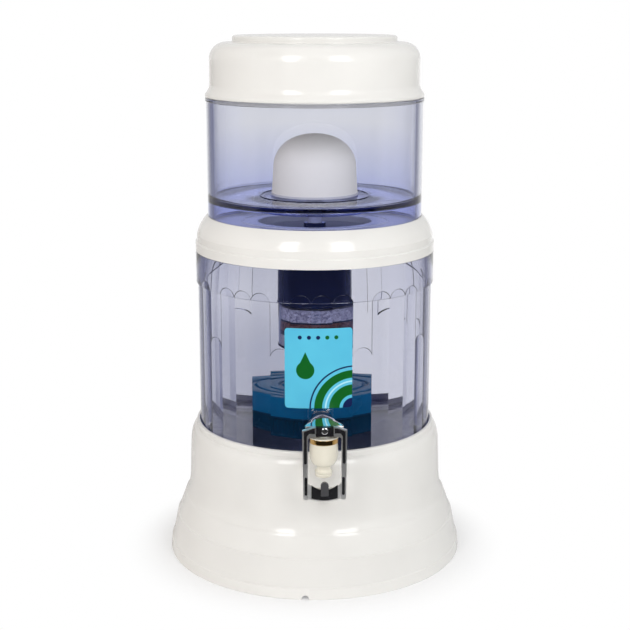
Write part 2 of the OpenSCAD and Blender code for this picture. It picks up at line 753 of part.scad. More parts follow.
module pot_lid() {
    wall_r = pot_r - pot_wall;
    top_t = 3;
    groove = 1;
    lid = concat([[wall_r, 0], [pot_r, 0], [pot_r, pot_lid_h - 1], [pot_r - 1, pot_lid_h]],
        [for (k = [1:5]) let (r = pot_r - 7.5 * k) each [[r + groove, pot_lid_h],
            [r + groove * 0.6, pot_lid_h - 1.2], [r - groove * 0.6, pot_lid_h - 1.2],
            [r - groove, pot_lid_h]]],
        [[0, pot_lid_h], [0, pot_lid_h - top_t], [wall_r, pot_lid_h - top_t]]);
    color([0.15, 0.5, 0.75, 0.7]) translate([0, 0, pot_join_z]) turned(lid);
}

// Round stones in rings on the basket's floor
module mineral_stones() {
    pitch = 2 * stone_r + 0.3;
    rings = floor((basket_r - pot_wall - stone_r - 0.2) / pitch);
    color("slategray") translate([0, 0, floor_z + basket_floor + stone_r]) {
        sphere(r = stone_r);
        for (k = [1:rings], i = [0:6 * k - 1]) rotate(i * 60 / k + 17 * k)
            translate([k * pitch, 0, 0]) sphere(r = stone_r);
    }
}

// ---------------------------------------------------------------- collar

module collar() {
    step_r = collar_r - 1.5;
    step_h = collar_h * 0.5;
    lip_h = collar_h * 0.27;
    edge_r = upper_r + 1.5;
    seat_in_r = spigot_r + drop_gap / 2;
    deck_h = collar_h - deck_drop;
    outside = concat([[collar_r, 0], [collar_r, lip_h - 1.2], [collar_r - 0.7, lip_h],
            [step_r, lip_h + 0.6], [step_r, step_h - 0.4], [step_r - 0.4, step_h]],
        curve([step_r - 0.4, step_h], [collar_r - 4.4, collar_h * 0.75], [edge_r, collar_h - 0.6], 8),
        [[edge_r - 0.6, collar_h], [seat_in_r, collar_h], [seat_in_r, deck_h], [73, deck_h],
            [72.5, deck_h + 0.6], [71.5, deck_h + 0.6], [71, deck_h], [collar_hole_r + 0.6, deck_h],
            [collar_hole_r, deck_h - 0.6], [collar_hole_r, deck_h - 7]]);
    inside = [[collar_hole_r + 2, deck_h - 7], [collar_hole_r + 2, deck_h - collar_wall],
        [seat_in_r - collar_wall, deck_h - collar_wall],
        [edge_r - collar_wall - 1.5, deck_h - collar_wall],
        [step_r - collar_wall - 0.8, step_h], [collar_r - collar_wall, lip_h],
        [collar_r - collar_wall, 0]];
    color("ivory") translate([0, 0, shoulder_z]) turned(concat(outside, inside));
}

// ---------------------------------------------------------------- upper tank

module upper_tank() {
    bead = 0.8;
    color([0.75, 0.8, 0.95, 0.5]) turned([[stem_r + 0.4, under_z], [hub_r - hub_wall, under_z],
        [hub_r - hub_wall, under_z - hub_h], [hub_r, under_z - hub_h], [hub_r, under_z],
        [upper_in_r, under_z], [upper_in_r, seat_z - spigot_h], [spigot_r, seat_z - spigot_h],
        [spigot_r, seat_z], [upper_r, seat_z], [upper_r, rim_z - flange_h],
        [upper_r + flange_w, rim_z - flange_h + 0.6], [upper_r + flange_w, rim_z - 0.4],
        [upper_r + flange_w - 0.4, rim_z],
        [upper_in_r, rim_z], [upper_in_r, water_z + 1.6], [upper_in_r - 1.6, water_z],
        [bead_r + 1, water_z], [bead_r + 0.5, water_z + bead], [bead_r - 0.5, water_z + bead],
        [bead_r - 1, water_z], [stem_r + 0.4, water_z]]);
}

// The dome's outline for a skin that lies d inside the outer face
function dome_outline(d) = concat([[dome_r - d, 0]], [for (p = arc([0, 0], 1, 0, 90, 12))
    [(dome_top_r - d) * p[0], dome_side_h + (dome_h - dome_side_h - d) * p[1]]]);

module ceramic_dome() {
    color("white") translate([0, 0, dome_z])
        turned(concat(dome_outline(0), back(dome_outline(dome_wall), [0, 0])));
}

// Plate and hollow threaded stem
module dome_base() {
    plate_r = dome_r + 0.9;
    color("lightsteelblue") difference() {
        union() {
            translate([0, 0, water_z + washer_t]) cylinder(r = plate_r, h = dome_base_t);
            translate([0, 0, stem_z]) cylinder(r = stem_r, h = water_z + washer_t - stem_z + 1);
        }
        translate([0, 0, stem_z - over]) cylinder(r = stem_r - 2.5, h = dome_z - stem_z + 2 * over);
    }
}

module dome_washer() {
    color("whitesmoke") translate([0, 0, water_z]) ring(stem_r + dome_washer_w, stem_r + skin_gap, washer_t);
}

module stem_washer() {
    color("whitesmoke") translate([0, 0, under_z - washer_t])
        ring(stem_r + stem_washer_w, stem_r + skin_gap, washer_t);
}

module stem_nut() {
    across = 2 * (stem_r + nut_wall);
    color([0.16, 0.18, 0.3]) difference() {
        translate([0, 0, under_z - washer_t - nut_t])
            cylinder(d = across / cos(30), h = nut_t, $fn = 6);
        translate([0, 0, under_z - washer_t - nut_t - over])
            cylinder(r = stem_r + skin_gap, h = nut_t + 2 * over);
    }
}

// ---------------------------------------------------------------- cartridge

module cartridge_cap() {
    h = cart_cap_h;
    in_r = cart_r - cart_wall;
    neck_r = stem_r + 4;
    socket_r = stem_r + skin_gap;
    color([0.05, 0.09, 0.25]) translate([0, 0, cap_z]) turned(concat(
        [[in_r, 0], [cart_r + 0.5, 0], [cart_r + 0.5, 1.4], [cart_r, 1.8], [cart_r, h - 8]],
        curve([cart_r, h - 8], [cart_r, h], [cart_r - 8, h], 6),
        [[neck_r, h], [neck_r, h + neck_h], [socket_r, h + neck_h], [socket_r, h + 1],
            [4, h + 1], [4, h - cart_wall], [in_r - 5, h - cart_wall], [in_r, h - cart_wall - 5]]));
}

module cartridge_housing() {
    r = cart_r - 0.5;
    collar_in = cart_r - cart_wall - 0.1;
    color([0.85, 0.87, 0.95, 0.4]) translate([0, 0, cart_z]) turned([[r - cart_wall, 0], [r, 0],
        [r, cart_housing_h - 0.3], [collar_in, cart_housing_h - 0.3],
        [collar_in, cart_housing_h + 6], [r - cart_wall, cart_housing_h + 6]]);
}

// Slotted foot that lets the water out
module cartridge_foot() {
    color([0.35, 0.37, 0.45]) difference() {
        translate([0, 0, cart_z - cart_foot_t]) turned([[0, 0], [cart_r - 1.5, 0], [cart_r, 1.2],
            [cart_r, cart_foot_t], [0, cart_foot_t]]);
        for (k = [1:3], i = [0:6 * k - 1]) rotate(i * 60 / k)
            translate([k * foot_ring_pitch, 0, cart_z - cart_foot_t - over])
                cylinder(r = foot_hole_r, h = cart_foot_t + 2 * over);
    }
}

// A layer of the cartridge's filling, at height z above the housing's underside
module layer(z, t) {
    translate([0, 0, cart_z + z]) cylinder(r = media_r, h = t);
}

module media_sand() { color([0.62, 0.64, 0.72]) layer(0, sand_t); }
module media_carbon() { color([0.12, 0.12, 0.16]) layer(sand_t, carbon_t); }
module media_pad_lower() { color([0.25, 0.25, 0.32]) layer(sand_t + carbon_t, pad_lower_t); }
module media_mineral() { color([0.55, 0.38, 0.38]) layer(sand_t + carbon_t + pad_lower_t, mineral_t); }

module media_pad_upper() {
    color([0.15, 0.16, 0.28]) layer(sand_t + carbon_t + pad_lower_t + mineral_t, pad_upper_t);
}

module media_silica() {
    color([0.8, 0.8, 0.9])
        layer(sand_t + carbon_t + pad_lower_t + mineral_t + pad_upper_t, silica_t);
}

// ---------------------------------------------------------------- lid

module lid() {
    h = lid_h;
    step_z = h - lid_disc_h;
    flare_h = 17;
    lip_h = 6;
    lip_r = upper_in_r - drop_gap;
    lip_in_r = lip_r - lid_wall;
    edge_r = upper_r + 1;
    disc_round = 2.4;
    round_c = [lid_r - lid_round, step_z - 0.4 - lid_round];
    in_round = lid_round - lid_wall;
    outside = concat([[lip_r, 0], [edge_r - 1.6, 0], [edge_r - 0.3, 0.9], [edge_r, 1.4],
            [edge_r, 3.2], [edge_r - 0.5, 4]],
        curve([edge_r - 1, 4.4], [lid_r + 0.7, 7], [lid_r + 0.3, flare_h], 6),
        arc(round_c, lid_round, 0, 90, 12),
        [[lid_disc_r, step_z], [lid_disc_r, h - disc_round]],
        arc([lid_disc_r - disc_round, h - disc_round], disc_round, 0, 90, 5), [[0, h]]);
    inside = concat([[0, h - lid_wall], [lid_disc_r - lid_wall, h - lid_wall],
            [lid_disc_r - lid_wall, step_z - lid_wall]],
        back(arc(round_c, in_round, 0, 90, 8), [0, 0]),
        [[lid_r - lid_wall, 8], [lip_in_r, 4], [lip_in_r, -lip_h], [lip_r, -lip_h]]);
    color("ivory") translate([0, 0, rim_z]) turned(concat(outside, inside));
}

base_drum();
base_foot();
base_shelf();
shelf_gussets();
lower_tank();
front_label();
tap_body();
tap_hood();
tap_nose();
tap_screw();
outer_washer();
inner_washer();
tail_nut();
tap_spout();
spout_ring();
lever_pins();
valve_diaphragm();
valve_stem();
valve_seal();
valve_spring();
tap_lever();
lever_inlays();
paddle_pad();
paddle_rib();
pot_basket();
pot_lid();
mineral_stones();
collar();
upper_tank();
ceramic_dome();
dome_base();
dome_washer();
stem_washer();
stem_nut();
cartridge_cap();
cartridge_housing();
cartridge_foot();
media_silica();
media_pad_upper();
media_mineral();
media_pad_lower();
media_carbon();
media_sand();
lid();
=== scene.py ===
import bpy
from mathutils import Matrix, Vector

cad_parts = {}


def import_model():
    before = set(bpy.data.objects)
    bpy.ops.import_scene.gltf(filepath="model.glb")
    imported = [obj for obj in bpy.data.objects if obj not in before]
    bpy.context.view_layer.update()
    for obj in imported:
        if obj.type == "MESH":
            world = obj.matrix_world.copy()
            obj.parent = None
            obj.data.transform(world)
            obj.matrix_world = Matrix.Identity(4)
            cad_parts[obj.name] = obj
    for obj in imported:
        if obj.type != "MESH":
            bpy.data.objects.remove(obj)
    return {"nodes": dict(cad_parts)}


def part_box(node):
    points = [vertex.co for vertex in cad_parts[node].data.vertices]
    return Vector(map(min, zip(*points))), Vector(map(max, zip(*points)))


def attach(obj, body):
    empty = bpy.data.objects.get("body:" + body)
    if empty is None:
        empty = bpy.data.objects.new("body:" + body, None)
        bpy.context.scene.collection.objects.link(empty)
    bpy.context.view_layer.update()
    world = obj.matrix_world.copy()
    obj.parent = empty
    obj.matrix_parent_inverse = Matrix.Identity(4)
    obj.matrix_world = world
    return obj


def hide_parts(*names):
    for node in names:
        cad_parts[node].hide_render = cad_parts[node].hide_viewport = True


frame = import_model()

"""A gravity water filter: clear tanks, white mouldings and a push tap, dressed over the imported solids.

Shapes are grids of points that numpy works out from two parameters. Profiles are in millimetres, as
(radius, height) round the axis; meshes are in metres. +Z is up and the tap points along -Y.
"""
import math

import bmesh
import bpy
import numpy as np
from mathutils import Vector

MM = 0.001
MERGE = 2e-6  # points closer than this, in metres, are one
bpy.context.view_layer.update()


def low(node):
    """Height of a node's lowest point, in millimetres."""
    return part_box(node)[0].z / MM


def high(node):
    """Height of a node's highest point, in millimetres."""
    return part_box(node)[1].z / MM


# Heights of the stack, from the solids
RIM_Z = high("base_drum")
SHELF_Z = low("lower_tank")
SHOULDER_Z = low("collar")
SEAT_Z = high("collar")
BRIM_Z = high("upper_tank")
LID_Z = high("lid")
WATER_Z = low("dome_washer")
CAP_Z = low("cartridge_cap")
POT_Z = low("pot_lid")
FLOOR_Z = low("pot_basket")
PIN_Z = (low("lever_pins") + high("lever_pins")) / 2
SPOUT_Y = (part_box("tap_spout")[0].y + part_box("tap_spout")[1].y) / 2 / MM


# ---------------------------------------------------------------- outlines

def rounded(corners, steps=12, closed=True):
    """The outline through corners (x, y, fillet), with each corner cut by an arc that touches both sides.

    With unit vectors a and b from a corner to its neighbours and h half the angle between them, the arc's
    centre lies fillet / sin(h) along a + b, and the arc touches the sides fillet / tan(h) from the corner.
    Points on the arc turn evenly from the first touching point to the second.
    """
    table = np.array(corners, float)
    points, fillets = table[:, :2], table[:, 2]
    outline = []
    for i, (p, fillet) in enumerate(zip(points, fillets)):
        at_end = not closed and i in (0, len(points) - 1)
        if fillet <= 0 or at_end:
            outline.append(p[None])
            continue
        a = points[i - 1] - p
        b = points[(i + 1) % len(points)] - p
        a, b = a / np.linalg.norm(a), b / np.linalg.norm(b)
        h = math.acos(np.clip(a @ b, -1, 1)) / 2
        centre = p + (a + b) / np.linalg.norm(a + b) * fillet / math.sin(h)
        start = (p + a * fillet / math.tan(h) - centre) / fillet
        end = (p + b * fillet / math.tan(h) - centre) / fillet
        turn = math.pi - 2 * h
        t = np.linspace(0, 1, max(2, round(steps * turn / (math.pi / 2))) + 1)[:, None]
        arc = np.sin((1 - t) * turn) * start + np.sin(t * turn) * end
        outline.append(centre + fillet * arc / math.sin(turn))
    return np.vstack(outline)


def bend(p, pull, q, steps=12):
    """Points along the quadratic curve from p to q, drawn towards pull: (1-t)^2 p + 2t(1-t) pull + t^2 q."""
    t = np.linspace(0, 1, steps + 1)[:, None]
    p, pull, q = np.array(p, float), np.array(pull, float), np.array(q, float)
    return (1 - t) ** 2 * p + 2 * t * (1 - t) * pull + t**2 * q


def lifted(profile, z):
    """A profile moved up by z."""
    return np.asarray(profile, float) + [0, z]


# ---------------------------------------------------------------- meshes

def placed(name, mesh, sharp):
    """A new object at the origin for a mesh, smooth but for edges that turn by more than sharp degrees."""
    mesh.shade_smooth()
    mesh.set_sharp_from_angle(angle=math.radians(sharp))
    piece = bpy.data.objects.new(name, mesh)
    bpy.context.scene.collection.objects.link(piece)
    return piece


def mesh_piece(name, grids, sharp=30, closed=True):
    """One mesh from point grids, each (rows, columns, 3) in millimetres with its wrap flags.

    Vertex (i, j) of a grid joins (i + 1, j) and (i, j + 1). Points that coincide are merged, which closes
    seams and poles, and edges that turn by more than sharp degrees stay sharp.
    """
    vertices, faces, start = [], [], 0
    for points, wrap_rows, wrap_columns in grids:
        rows, columns = points.shape[:2]
        index = start + np.arange(rows * columns).reshape(rows, columns)
        if wrap_rows:
            index = np.vstack([index, index[:1]])
        if wrap_columns:
            index = np.hstack([index, index[:, :1]])
        corners = (index[:-1, :-1], index[:-1, 1:], index[1:, 1:], index[1:, :-1])
        vertices.append(points.reshape(-1, 3) * MM)
        faces.append(np.stack(corners, -1).reshape(-1, 4))
        start += rows * columns
    mesh = bpy.data.meshes.new(name)
    mesh.from_pydata(np.vstack(vertices).tolist(), [], np.vstack(faces).tolist())
    shape = bmesh.new()
    shape.from_mesh(mesh)
    bmesh.ops.remove_doubles(shape, verts=shape.verts, dist=MERGE)
    bmesh.ops.dissolve_degenerate(shape, edges=shape.edges, dist=1e-7)
    if closed:
        bmesh.ops.recalc_face_normals(shape, faces=shape.faces)
    shape.to_mesh(mesh)
    shape.free()
    return placed(name, mesh, sharp)


def turned(profile, around=288, centre=(0, 0)):
    """A surface of revolution: (u, v) -> (r(v) sin u, -r(v) cos u, z(v)) about a vertical axis at centre."""
    u = np.linspace(0, 2 * np.pi, around, endpoint=False)
    r, z = profile[:, 0, None], profile[:, 1, None]
    x = centre[0] + r * np.sin(u)
    y = centre[1] - r * np.cos(u)
    return np.stack([x, y, np.broadcast_to(z, x.shape)], -1)


def plate_piece(name, plates, sharp=40):
    """One mesh from plates, each a stack of outlines whose first and last are closed by a flat face."""
    shape = bmesh.new()
    for rows in plates:
        rings = [[shape.verts.new(Vector(p) * MM) for p in row] for row in rows]
        for a, b in zip(rings, rings[1:]):
            for i in range(len(a)):
                j = (i + 1) % len(a)
                shape.faces.new((a[i], a[j], b[j], b[i]))
        shape.faces.new(rings[0][::-1])
        shape.faces.new(rings[-1])
    bmesh.ops.recalc_face_normals(shape, faces=shape.faces)
    mesh = bpy.data.meshes.new(name)
    shape.to_mesh(mesh)
    shape.free()
    return placed(name, mesh, sharp)


def softened(node, width, sharp=35):
    """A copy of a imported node: loose triangles merged, flat faces joined, and edges rounded to width."""
    mesh = frame["nodes"][node].data.copy()
    mesh.materials.clear()
    shape = bmesh.new()
    shape.from_mesh(mesh)
    bmesh.ops.remove_doubles(shape, verts=shape.verts, dist=1e-6)
    bmesh.ops.dissolve_limit(shape, angle_limit=math.radians(0.5), verts=shape.verts, edges=shape.edges)
    shape.to_mesh(mesh)
    shape.free()
    piece = placed(node + "_soft", mesh, sharp)
    bevel = piece.modifiers.new("edges", "BEVEL")
    bevel.width = width * MM
    bevel.segments = 3
    bevel.limit_method = "ANGLE"
    bevel.angle_limit = math.radians(sharp)
    bevel.harden_normals = True
    return piece


def dress(piece, material, body, slot, *nodes):
    """Gives a new piece its material and body, and hides the nodes that it stands for."""
    piece.data.materials.append(material)
    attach(piece, body)
    if nodes:
        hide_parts(*nodes)
    return piece


# ---------------------------------------------------------------- shader maths

class Socket:
    """A shader output that plain arithmetic works on: each operator adds one Math node."""

    def __init__(self, finish, link):
        self.finish, self.link = finish, link

    def math(self, operation, *others):
        return self.finish.node("Math", {"operation": operation}, [self, *others])

    def __add__(self, other): return self.math("ADD", other)
    def __radd__(self, other): return self.math("ADD", other)
    def __sub__(self, other): return self.math("SUBTRACT", other)
    def __rsub__(self, other): return self.finish.node("Math", {"operation": "SUBTRACT"}, [other, self])
    def __mul__(self, other): return self.math("MULTIPLY", other)
    def __rmul__(self, other): return self.math("MULTIPLY", other)
    def __truediv__(self, other): return self.math("DIVIDE", other)

    def clamp(self):
        """Kept between 0 and 1."""
        return self.finish.node("Clamp", {}, [self])

    def step(self, start, end):
        """0 before start, 1 after end, and smooth between them."""
        settings = {"interpolation_type": "SMOOTHSTEP"}
        return self.finish.node("MapRange", settings, [self, start, end, 0.0, 1.0])


class Finish:
    """The nodes of a new material, or of a given owner such as the world, under construction."""

    def __init__(self, name, owner=None, output="OutputMaterial"):
        self.owner = owner or bpy.data.materials.new(name)
        self.owner.use_nodes = True
        self.tree = self.owner.node_tree
        self.tree.nodes.clear()
        self.output = self.tree.nodes.new("ShaderNode" + output)

    def node(self, kind, settings=None, inputs=(), out=0):
        """Adds a node of a kind with its settings, feeds its sockets values or links, and gives an output."""
        made = self.tree.nodes.new("ShaderNode" + kind)
        for key, value in (settings or {}).items():
            setattr(made, key, value)
        pairs = inputs.items() if isinstance(inputs, dict) else enumerate(inputs)
        for key, value in pairs:
            if isinstance(value, Socket):
                self.tree.links.new(value.link, made.inputs[key])
            elif value is not None:
                made.inputs[key].default_value = value
        return Socket(self, made.outputs[out])

    def place(self, kind="Object"):
        """A point's coordinates as three sockets: in metres in the object, or of the direction in a world."""
        at = self.node("TexCoord", out=kind)
        split = self.node("SeparateXYZ", {}, [at])
        return [Socket(self, o) for o in split.link.node.outputs]

    def seen(self):
        """Three shares, each 1 or 0: for what is seen straight, what is mirrored, what is seen through."""
        straight = self.node("LightPath", out="Is Camera Ray")
        outputs = straight.link.node.outputs
        through = Socket(self, outputs["Is Transmission Ray"])
        mirrored = Socket(self, outputs["Is Glossy Ray"]) * (1 - through)
        return straight, mirrored, through

    def noise(self, scale, detail=3):
        """Fractal noise with about scale features a metre."""
        at = self.node("TexCoord", out="Object")
        return self.node("TexNoise", {}, {"Vector": at, "Scale": scale, "Detail": detail})

    def cells(self, scale, out="Distance"):
        """Of the nearest of about scale points a metre: its distance, or its own colour."""
        at = self.node("TexCoord", out="Object")
        return self.node("TexVoronoi", {"feature": "F1"}, {"Vector": at, "Scale": scale}, out)

    def mix(self, share, a, b):
        """Colour a where share is 0 and colour b where it is 1."""
        return self.node("Mix", {"data_type": "RGBA"}, {0: share, 6: a, 7: b}, 2)

    def bump(self, height, strength, distance):
        """A normal from a height between 0 and 1 that stands distance metres tall."""
        return self.node("Bump", {}, {"Height": height, "Strength": strength, "Distance": distance})

    def surface(self, **inputs):
        """The Principled shader, with underscores for spaces in its socket names."""
        sockets = {key.replace("_", " "): value for key, value in inputs.items()}
        return self.node("BsdfPrincipled", {}, sockets)

    def done(self, shader, volume=None):
        """Connects the shader, and a volume where there is one, and returns what owns the nodes."""
        self.tree.links.new(shader.link, self.output.inputs["Surface"])
        if volume:
            self.tree.links.new(volume.link, self.output.inputs["Volume"])
        return self.owner


def rgb(r, g, b):
    """A colour with full alpha."""
    return (r, g, b, 1.0)


def shaded(colour, share):
    """A darker colour, with a share of the light of the first."""
    return rgb(*(c * share for c in colour))


# ---------------------------------------------------------------- finishes

def moulded(name, colour, rough):
    """Glossy moulded plastic: faint cloudy colour, uneven gloss and a fine orange-peel surface."""
    f = Finish(name)
    darker = 0.96
    cloud, peel = f.noise(9, 4), f.noise(900, 2)
    base = f.mix(cloud.step(0.35, 0.7), rgb(*colour), shaded(colour, darker))
    uneven = 0.05 * (f.noise(45) - 0.5)
    shader = f.surface(Base_Color=base, Roughness=rough + uneven, IOR=1.5, Coat_Weight=0.25,
                       Coat_Roughness=0.05, Normal=f.bump(peel, 0.25, 0.00002))
    return f.done(shader)


def clear(name, tint, density, ior=1.5, through=(0.97, 0.97, 0.98), fade=None):
    """Clear plastic that darkens with the length of the path inside it, and lets lamps through unbent.

    A fade (z_low, z_high, colour) is painted shade: it tints the surface darker below z_high, and most at
    z_low, both in metres, but not the front half of the wall above the floor's fillet.
    """
    f = Finish(name)
    scratch = f.noise(60, 5)
    base = rgb(1, 1, 1)
    # Painted shade: a darker blue tint round the floor, rising up the far half of the wall.
    if fade:
        z_low, z_high, colour = fade
        _, y, z = f.place()
        rise = ((z - z_low) / (z_high - z_low)).clamp()
        wall = (0 - y).step(-0.02, 0.02) * z.step(z_low + 0.0045, z_low + 0.007)
        base = f.mix((rise + wall).clamp(), rgb(*colour), base)
    shader = f.surface(Base_Color=base, Roughness=0.03 * scratch.step(0.55, 0.8), IOR=ior,
                       Transmission_Weight=1.0)
    plain = f.node("BsdfTransparent", {}, [rgb(*through)])
    shadow = f.node("LightPath", out="Is Shadow Ray")
    diffuse = Socket(f, shadow.link.node.outputs["Is Diffuse Ray"])
    shader = f.node("MixShader", {}, [diffuse, shader, plain])
    shader = f.node("MixShader", {}, [shadow, shader, plain])
    volume = f.node("VolumeAbsorption", {}, [rgb(*tint), density])
    return f.done(shader, volume)


def plated(name, colour, rough):
    """Bright plating: metal with a faint ripple and faint wipe marks."""
    f = Finish(name)
    wipe, ripple = f.noise(140, 4), f.noise(220, 2)
    shader = f.surface(Base_Color=rgb(*colour), Metallic=1.0, Roughness=rough + 0.05 * wipe.step(0.5, 0.8),
                       Normal=f.bump(ripple, 0.15, 0.00003))
    return f.done(shader)


def grains(name, dark, light, scale, depth):
    """Loose grains: each cell has its own shade between two colours, and stands up by depth metres."""
    f = Finish(name)
    shade = f.node("SeparateColor", {}, [f.cells(scale, out="Color")])
    top = 1 - f.cells(scale) * 1.2
    shader = f.surface(Base_Color=f.mix(shade, rgb(*dark), rgb(*light)), Roughness=0.75,
                       Normal=f.bump(top, 0.8, depth))
    return f.done(shader)


def matt(name, colour, rough, grain_scale, grain_depth, shade=0.85):
    """Matt material with a fine grain in height, and in colour down to a shade of it."""
    f = Finish(name)
    grain = f.noise(grain_scale, 4)
    base = f.mix(grain.step(0.3, 0.7), shaded(colour, shade), rgb(*colour))
    shader = f.surface(Base_Color=base, Roughness=rough, Normal=f.bump(grain, 0.5, grain_depth))
    return f.done(shader)


def tinted(name, colour, rough, through, gloss):
    """Coloured see-through plastic, cloudy enough to hide what is behind it in part."""
    f = Finish(name)
    cloud = f.noise(30)
    base = f.mix(cloud.step(0.3, 0.75), rgb(*colour), shaded(colour, 0.82))
    shader = f.surface(Base_Color=base, Roughness=rough + 0.04 * cloud, IOR=1.5,
                       Transmission_Weight=through, Specular_IOR_Level=gloss)
    return f.done(shader)


WHITE = moulded("white_moulding", (0.86, 0.85, 0.82), 0.16)
# The fades of both tanks are painted shade: a darker blue tint round each floor and low on the far wall.
LOWER_CLEAR = clear("lower_tank_clear", tint=(0.175, 0.217, 0.53), density=36, ior=1.57,
                    through=(0.86, 0.865, 0.91),
                    fade=(FLOOR_Z * MM + 0.001, FLOOR_Z * MM + 0.003, (0.44, 0.44, 0.58)))
UPPER_CLEAR = clear("upper_tank_clear", tint=(0.195, 0.26, 0.555), density=24, ior=1.57, through=(1, 1, 1),
                    fade=(WATER_Z * MM - 0.004, WATER_Z * MM + 0.065, (0.62, 0.66, 0.92)))
HOUSING_CLEAR = clear("housing_clear", (0.5, 0.5, 0.8), 10)
CERAMIC = matt("dome_ceramic", (0.97, 0.95, 0.93), 0.6, 800, 0.00005, shade=0.97)
NAVY = moulded("navy_moulding", (0.012, 0.020, 0.075), 0.12)
POT_BLUE = tinted("pot_blue", (0.0, 0.21, 0.44), 0.25, through=0.08, gloss=0.12)
BASKET_BLUE = tinted("basket_blue", (0.0, 0.08, 0.17), 0.25, through=0.1, gloss=0.12)
PALE = moulded("pale_moulding", (0.72, 0.72, 0.80), 0.25)
IVORY = moulded("ivory_moulding", (0.84, 0.80, 0.68), 0.2)
BLACK = moulded("black_moulding", (0.012, 0.012, 0.014), 0.18)
GREY = moulded("grip_grey", (0.06, 0.06, 0.065), 0.35)
CHROME = plated("tap_plating", (0.80, 0.80, 0.80), 0.05)
SATIN = plated("lever_plating", (0.93, 0.93, 0.93), 0.36)
GOLD = plated("ring_plating", (0.55, 0.34, 0.12), 0.08)
STEEL = plated("screw_steel", (0.60, 0.60, 0.62), 0.2)
SILICONE = matt("pale_silicone", (0.72, 0.72, 0.72), 0.45, 400, 0.00003)
FELT = matt("navy_felt", (0.02, 0.024, 0.06), 0.95, 1500, 0.0002, shade=0.6)
STONE = matt("mineral_stone", (0.30, 0.31, 0.33), 0.6, 500, 0.0003, shade=0.6)
SILICA = grains("silica_grains", (0.28, 0.28, 0.42), (0.75, 0.75, 0.92), 500, 0.0007)
GRANULES = grains("red_granules", (0.06, 0.02, 0.025), (0.26, 0.11, 0.10), 450, 0.0008)
CARBON = grains("carbon_grains", (0.015, 0.015, 0.025), (0.06, 0.06, 0.09), 900, 0.0005)
SAND = grains("sand_grains", (0.36, 0.37, 0.45), (0.60, 0.61, 0.70), 1200, 0.0003)


# ---------------------------------------------------------------- white mouldings

def lid():
    """Turned from one profile: a raised disc, a round shoulder, a cove above the rim, and a lip inside."""
    edge, wall, disc, shoulder, thick = 107.0, 102.4, 80.0, 16, 2.6
    lip_out, lip_in, lip_drop = 98.75, 96.15, 3.6
    top = LID_Z - BRIM_Z
    step = top - 6.2
    profile = rounded([(0, top, 0), (disc, top, 2.6), (disc, step, 1.2), (wall, step - 0.4, shoulder),
                       (wall + 0.2, 9, 12), (edge - 0.7, 4.2, 0.7), (edge, 3.0, 0.6), (edge, 1.0, 0.8),
                       (edge - 1.4, 0, 0.4), (lip_out, 0, 0.3), (lip_out, -lip_drop, 0.6),
                       (lip_in, -lip_drop, 0.6), (lip_in, 4, 1), (wall - thick, 8, 1),
                       (wall - thick, step - thick, shoulder - thick), (disc - thick, step - thick, 1),
                       (disc - thick, top - thick, 1.5), (0, top - thick, 0)], closed=False)
    piece = mesh_piece("lid_shell", [(turned(lifted(profile, BRIM_Z)), False, True)])
    return dress(piece, WHITE, "lid", "white_plastic", "lid")


def collar():
    """Turned: a lower band, a recessed band, a domed slope up to the seat, and a deck with a hole."""
    band, recess, edge, seat, hole, thick = 118.9, 117.4, 107.5, 103.1, 56, 2.2
    bead_in, bead_out, bead_h, hole_drop = 71, 73, 0.6, 7
    h = SEAT_Z - SHOULDER_Z
    deck = h - 2.8
    outside = [rounded([(band, 0, 0), (band, 8.6, 0.7), (recess, 9.8, 0.5), (recess, 16.4, 0.5),
                        (recess - 0.4, 17.1, 0)], closed=False),
               bend((recess - 0.4, 17.1), (114.6, 26.5), (edge, h - 0.6)),
               rounded([(edge, h - 0.6, 0), (edge - 0.7, h, 0.3), (seat, h, 0.3), (seat, deck, 0.3),
                        (bead_out, deck, 0.2), (bead_out - 0.5, deck + bead_h, 0.2),
                        (bead_in + 0.5, deck + bead_h, 0.2), (bead_in, deck, 0.2),
                        (hole, deck, 1), (hole, deck - hole_drop, 0.5), (hole + 2, deck - hole_drop, 0.5),
                        (hole + 2, deck - thick, 0.5), (seat + 0.5, deck - thick, 1), (114.4, 17, 2),
                        (band - thick, 9, 1), (band - thick, 0, 0)], closed=False)]
    profile = lifted(np.vstack(outside), SHOULDER_Z)
    piece = mesh_piece("collar_shell", [(turned(profile), True, True)])
    return dress(piece, WHITE, "collar", "white_plastic", "collar")


BASE_WALL, RECESS_R = 3.2, 118.2
JOIN_R, JOIN_Z = 133.3, 59.5  # where the drum meets the foot


def lining(outside, top):
    """The inner side of an outline below a height, from its lower end up."""
    return outside[outside[:, 1] < top][::-1] - [BASE_WALL, 0]


